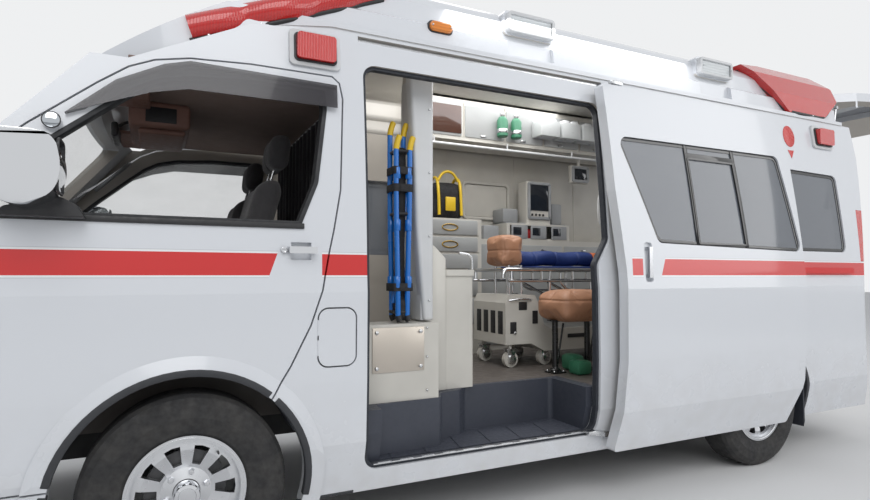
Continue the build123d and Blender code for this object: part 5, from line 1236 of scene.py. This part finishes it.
def dash_fittings():
    """Dials, vents and the gear lever on the dashboard."""
    dials = [turned([(0.05, 0.0), (0.05, 0.012), (0.045, 0.012), (0.043, 0.006), (0.01, 0.005)],
                    (-0.58, y, 1.13), "rear", 36) for y in (0.3, 0.44)]
    dials += [block((-0.58, -0.548), (y - 0.07, y + 0.07), (1.07, 1.115), 0.006) for y in (-0.6, -0.05, 0.66)]
    dials.append(tube([(-0.52, 0.0, 0.9), (-0.48, 0.0, 1.0), (-0.46, 0.0, 1.06)], 0.008))
    dials.append(turned([(0.014, 0.0), (0.02, 0.012), (0.018, 0.03), (0.006, 0.036)], (-0.46, 0.0, 1.055),
                        "up", 20))
    settle("dash_fittings", "black_plastic", dials)


def door_furniture():
    """Locks, strikers, stops, sill plate, rail arms and slots round the left side's doors."""
    for side, name in BODY_SIDES:
        lock = turned([(0.012, -0.004), (0.012, 0.003), (0.009, 0.005), (0.004, 0.004)],
                      (0.322, side * 0.938, 1.213), name, 24)
        settle(f"{name}_door_lock", "chrome", lock, f"{name}_door")
    bright = [block((1.942, 1.985), (-0.9, -0.885), (0.93, 1.0), 0.003),
              tube([(1.95, -0.9, 0.945), (1.95, -0.925, 0.95), (1.95, -0.925, 0.98), (1.95, -0.9, 0.985)],
                   0.005), block((1.945, 1.98), (-0.93, -0.89), (1.09, 1.102), 0.002),
              block((1.945, 1.98), (-0.93, -0.89), (1.05, 1.062), 0.002)]
    bright.append(plate([(1.80, 0.338), (2.06, 0.286), (2.06, 0.3), (1.98, 0.33), (1.86, 0.354),
                         (1.80, 0.354)], "side", -0.93, -0.885, 0.003))
    bright.append(block((1.955, 2.03), (-0.955, -0.925), (2.092, 2.112), 0.003))
    settle("door_strikers", "steel", bright, "body")
    sill = [block((0.7, 1.83), (-0.899, -0.868), (0.3425, 0.3475), 0.0015)]
    sill += [block((0.72 + 0.1 * k, 0.78 + 0.1 * k), (-0.894, -0.874), (0.347, 0.3492), 0.001)
             for k in range(11)]
    settle("sill_plate", "alloy", sill)
    stops = [turned([(0.017, 0.0), (0.017, 0.008), (0.012, 0.016), (0.006, 0.018)], (1.978, -0.9, z),
                    "left", 24) for z in (0.652, 0.8)]
    stops += [block((1.962, 1.998), (-0.925, -0.886), (0.512, 0.56), 0.005),
              block((1.966, 1.99), (-0.92, -0.886), (0.42, 0.46), 0.005)]
    stops += [block((x, x + 0.05), (-0.831, -0.8285), (2.1125, 2.118), 0.0008)
              for x in [0.75 + 0.14 * k for k in range(8)]]
    stops.append(block((1.93, 1.97), (-0.95, -0.9), (2.066, 2.09), 0.005))
    settle("door_stops", "rubber", stops)
    marks = [block((0.742, 0.748), (-0.8, -0.785), (0.44, 0.50), 0.002)]
    settle("step_marker", "white_plastic", marks, "body")
    lip = plate(rectangle(0.35, 0.62, 0.24, 0.252), "side", -0.004, 0.003, 0.002)
    settle("sill_edge", "lip_grey", on_wall(lip, -1))


FOG_LAMP_X = -1.085


def front_end():
    """Grille slats, lamp rings, bumper lamps and wipers."""
    slats = [block((-1.119, -1.085), (-0.53, 0.53), (z, z + 0.012), 0.004)
             for z in (0.722, 0.762, 0.802, 0.842)]
    slats += [block((-1.112, -1.09), (y - 0.004, y + 0.004), (0.71, 0.86), 0.002)
              for y in (-0.36, -0.18, 0.0, 0.18, 0.36)]
    settle("grille_slats", "black_plastic", slats)
    rings, lenses, arms, blades = [], [], [], []
    for side in (-1, 1):
        for y, z, radius in ((0.68, 0.80, 0.062), (0.8, 0.80, 0.048)):
            hit = reach((X(-2), side * y, z), (1, 0, 0), ("headlamps", "nose_body", "bumpers"))
            x = hit.x - AXLE_X
            rings.append(turned([(radius, -0.02), (radius, 0.002), (radius * 0.92, 0.005),
                                 (radius * 0.86, -0.001), (radius * 0.3, -0.004)], (x, side * y, z),
                                "front", 40))
        rings.append(turned([(0.052, -0.02), (0.052, 0.004), (0.046, 0.006), (0.043, 0.0), (0.02, -0.01)],
                            (FOG_LAMP_X, side * 0.66, 0.4), "front", 36))
        lenses.append(turned([(0.043, -0.006), (0.042, 0.004), (0.028, 0.011), (0.008, 0.014)],
                             (FOG_LAMP_X, side * 0.66, 0.4), "front", 32))
    settle("front_lamp_rings", "chrome", rings)
    settle("fog_lenses", "clear_lens", lenses)
    for y0, y1 in ((0.12, 0.66), (-0.5, 0.04)):
        places = []
        for k in range(9):
            y = y0 + (y1 - y0) * k / 8
            hit = reach((X(-2), y, 1.235), (1, 0, 0), ("windscreen", "nose_body"))
            places.append((hit.x - AXLE_X - 0.012, y, 1.235 + 0.009))
        blades.append(tube(places, 0.006))
        hit = reach((X(-2), y1 - 0.03, 1.15), (1, 0, 0), ("nose_body", "windscreen"))
        start = (hit.x - AXLE_X - 0.02, y1 - 0.03, 1.15)
        arms.append(tube([start, (start[0] + 0.02, y1 - 0.06, 1.2),
                          (places[4][0] - 0.014, places[4][1] + 0.12, 1.235),
                          (places[4][0] - 0.008, places[4][1], 1.246)], 0.006))
        arms.append(turned([(0.02, -0.01), (0.02, 0.012), (0.014, 0.02), (0.004, 0.022)],
                           (start[0] + 0.01, start[1], 1.15), "front", 24))
    settle("wiper_arms", "black_enamel", arms)
    settle("wiper_blades", "rubber", blades)


def wing_mirrors():
    """Chrome mirror heads on black feet, their glass facing rearward, and a small round one on the left."""
    head = [(-0.61, 1.372), (-0.48, 1.318), (-0.39, 1.36), (-0.372, 1.44), (-0.39, 1.53), (-0.43, 1.547),
            (-0.59, 1.547), (-0.624, 1.5)]
    foot = [(-0.56, 1.302), (-0.322, 1.302), (-0.345, 1.345), (-0.40, 1.37), (-0.47, 1.35), (-0.54, 1.33)]
    for side, name in BODY_SIDES:
        node = f"{name}_mirror"
        shell = plate(head, "side", side * 0.986, side * 1.134, 0.034, 0.03, segments=6)
        settle(f"{name}_mirror_head", "chrome", shell, f"{name}_door", replaced=(node,))
        stand = [plate(foot, "side", side * 0.93, side * 1.0, 0.012, 0.008, segments=3),
                 plate(rectangle(side * 0.995, side * 1.118, 1.365, 1.535),
                       "front", -0.388, -0.3795, 0.003, 0.025, 0.008)]
        glass = plate(rectangle(side * 1.0, side * 1.113, 1.37, 1.53), "front",
                      -0.388, -0.3835, 0.001, 0.02)
        if side < 0:
            stand.append(turned([(0.008, 0.0), (0.007, 0.012), (0.012, 0.02)], (-0.43, -0.905, 1.625),
                                "left", 20))
            stand.append(turned([(0.02, 0.0), (0.0275, 0.006), (0.028, 0.012), (0.025, 0.0125)],
                                (-0.43, -0.922, 1.625), "left", 32))
            round_glass = turned([(0.025, 0.0), (0.02, 0.002), (0.004, 0.003)], (-0.43, -0.9342, 1.625),
                                 "left", 32)
            glass = joined([glass, round_glass])
        settle(f"{name}_mirror_foot", "black_plastic", stand, f"{name}_door", replaced=(node,))
        settle(f"{name}_mirror_glass", "mirror_glass", glass, f"{name}_door")


# The camera's place, and the ends of the roof lamp's lower edge as it is seen from there.
EYE = Vector((X(-0.1115), -3.1374, 1.1173))
DOME_EDGE = (Vector((X(0.0), -0.5, 2.125)), Vector((X(0.883), -0.5, 2.496)))


def red_dome():
    """The rounded red lens of the front lamp along the roof's shoulders, with a seal and screws below it."""
    low, high = DOME_EDGE
    for side, name in BODY_SIDES:
        places = []
        for step in range(13):
            along_line = low.lerp(high, step / 12) - EYE
            hit = reach(EYE, along_line.normalized(), ("high_roof",))
            if hit and X(-0.13) < hit.x < X(0.82) and hit.z < 2.40 and hit.y < 0:
                places.append((hit.x - AXLE_X, hit.y * -side, hit.z))
        if len(places) > 2:
            lens = tube([(x, y - side * 0.022, z + 0.053) for x, y, z in places], 0.055, sides=6)
            settle(f"front_lamp_{name}_lens", "red_lens", lens)
            settle(f"front_lamp_{name}_seal", "black_plastic", tube(places, 0.011))
            heads = [screw(x, y + side * 0.006, z + 0.004, name, 0.006) for x, y, z in places[1::3]]
            settle(f"front_lamp_{name}_screws", "steel", heads)


# Floor, light and camera

def studio_floor():
    """A wide grey floor that is no part of the vehicle."""
    OPS.mesh.primitive_plane_add(size=80, location=(0, 0, 0))
    floor = bpy.context.object
    floor.name = "floor"
    ground = Finish("floor_grey", (0.80, 0.80, 0.80), Roughness=0.85)
    floor.data.materials.append(ground.material)


def studio_sky():
    """Soft light from all round, with a brighter sky where it is seen or mirrored."""
    world = bpy.data.worlds.new("studio")
    world.use_nodes = True
    SCENE.world = world
    nodes, links = world.node_tree.nodes, world.node_tree.links
    lit = nodes["Background"]
    lit.inputs[0].default_value = (0.93, 0.96, 1.0, 1)
    lit.inputs[1].default_value = 0.46
    seen = nodes.new("ShaderNodeBackground")
    seen.inputs[0].default_value = (0.86, 0.87, 0.88, 1)
    seen.inputs[1].default_value = 1.0
    path = nodes.new("ShaderNodeLightPath")
    mixed = nodes.new("ShaderNodeMixShader")
    share = path.outputs["Is Camera Ray"]
    for ray in ("Is Glossy Ray", "Is Transmission Ray"):
        most = nodes.new("ShaderNodeMath")
        most.operation = "MAXIMUM"
        links.new(share, most.inputs[0])
        links.new(path.outputs[ray], most.inputs[1])
        share = most.outputs[0]
    links.new(share, mixed.inputs[0])
    links.new(lit.outputs[0], mixed.inputs[1])
    links.new(seen.outputs[0], mixed.inputs[2])
    links.new(mixed.outputs[0], nodes["World Output"].inputs[0])


def area_light(name, place, size, power):
    lamp = bpy.data.lights.new(name, "AREA")
    lamp.size = size
    lamp.energy = power
    light = bpy.data.objects.new(name, lamp)
    SCENE.collection.objects.link(light)
    light.location = place
    return light


def studio_lights():
    """Three large lamps round the vehicle and one under the room's ceiling."""
    for name, place, aim, size, power in (
            ("key_light", (-3.5, -8.5, 7.5), (0, 0, 1.2), 7.0, 400),
            ("fill_light", (6.0, -7.0, 4.0), (0.5, 0, 1.0), 5.0, 150),
            ("far_light", (1.0, 7.0, 8.0), (0, 0, 1.2), 6.0, 220)):
        light = area_light(name, place, size, power)
        light.rotation_euler = (Vector(aim) - Vector(place)).to_track_quat("-Z", "Y").to_euler()
    area_light("cabin_light", (X(1.9), -0.1, 2.38), 1.6, 30)


def photo_camera():
    """The camera as it stood for the photo."""
    eye = bpy.data.cameras.new("camera")
    eye.lens = 23.65
    eye.sensor_width = 36
    eye.clip_start = 0.05
    camera = bpy.data.objects.new("camera", eye)
    SCENE.collection.objects.link(camera)
    camera.location = EYE
    camera.rotation_euler = (math.radians(92.53), 0, math.radians(-25.97))
    SCENE.camera = camera
    SCENE.view_settings.view_transform = "Standard"


for make in (studio_floor, studio_sky, studio_lights, photo_camera):
    make()
for make in (arch_lips, window_rings, lamp_mounts, beacon_bases, red_marks, wheels, cab_seats, patient_seat,
             patient_cot, cot_base, stretcher, room_linings, bulkhead, drawers, medical_sets, wall_stores,
             grab_rails, carry_bag, cab_fittings, cab_curtain, dash_fittings, door_furniture, front_end,
             wing_mirrors, red_dome):
    make()
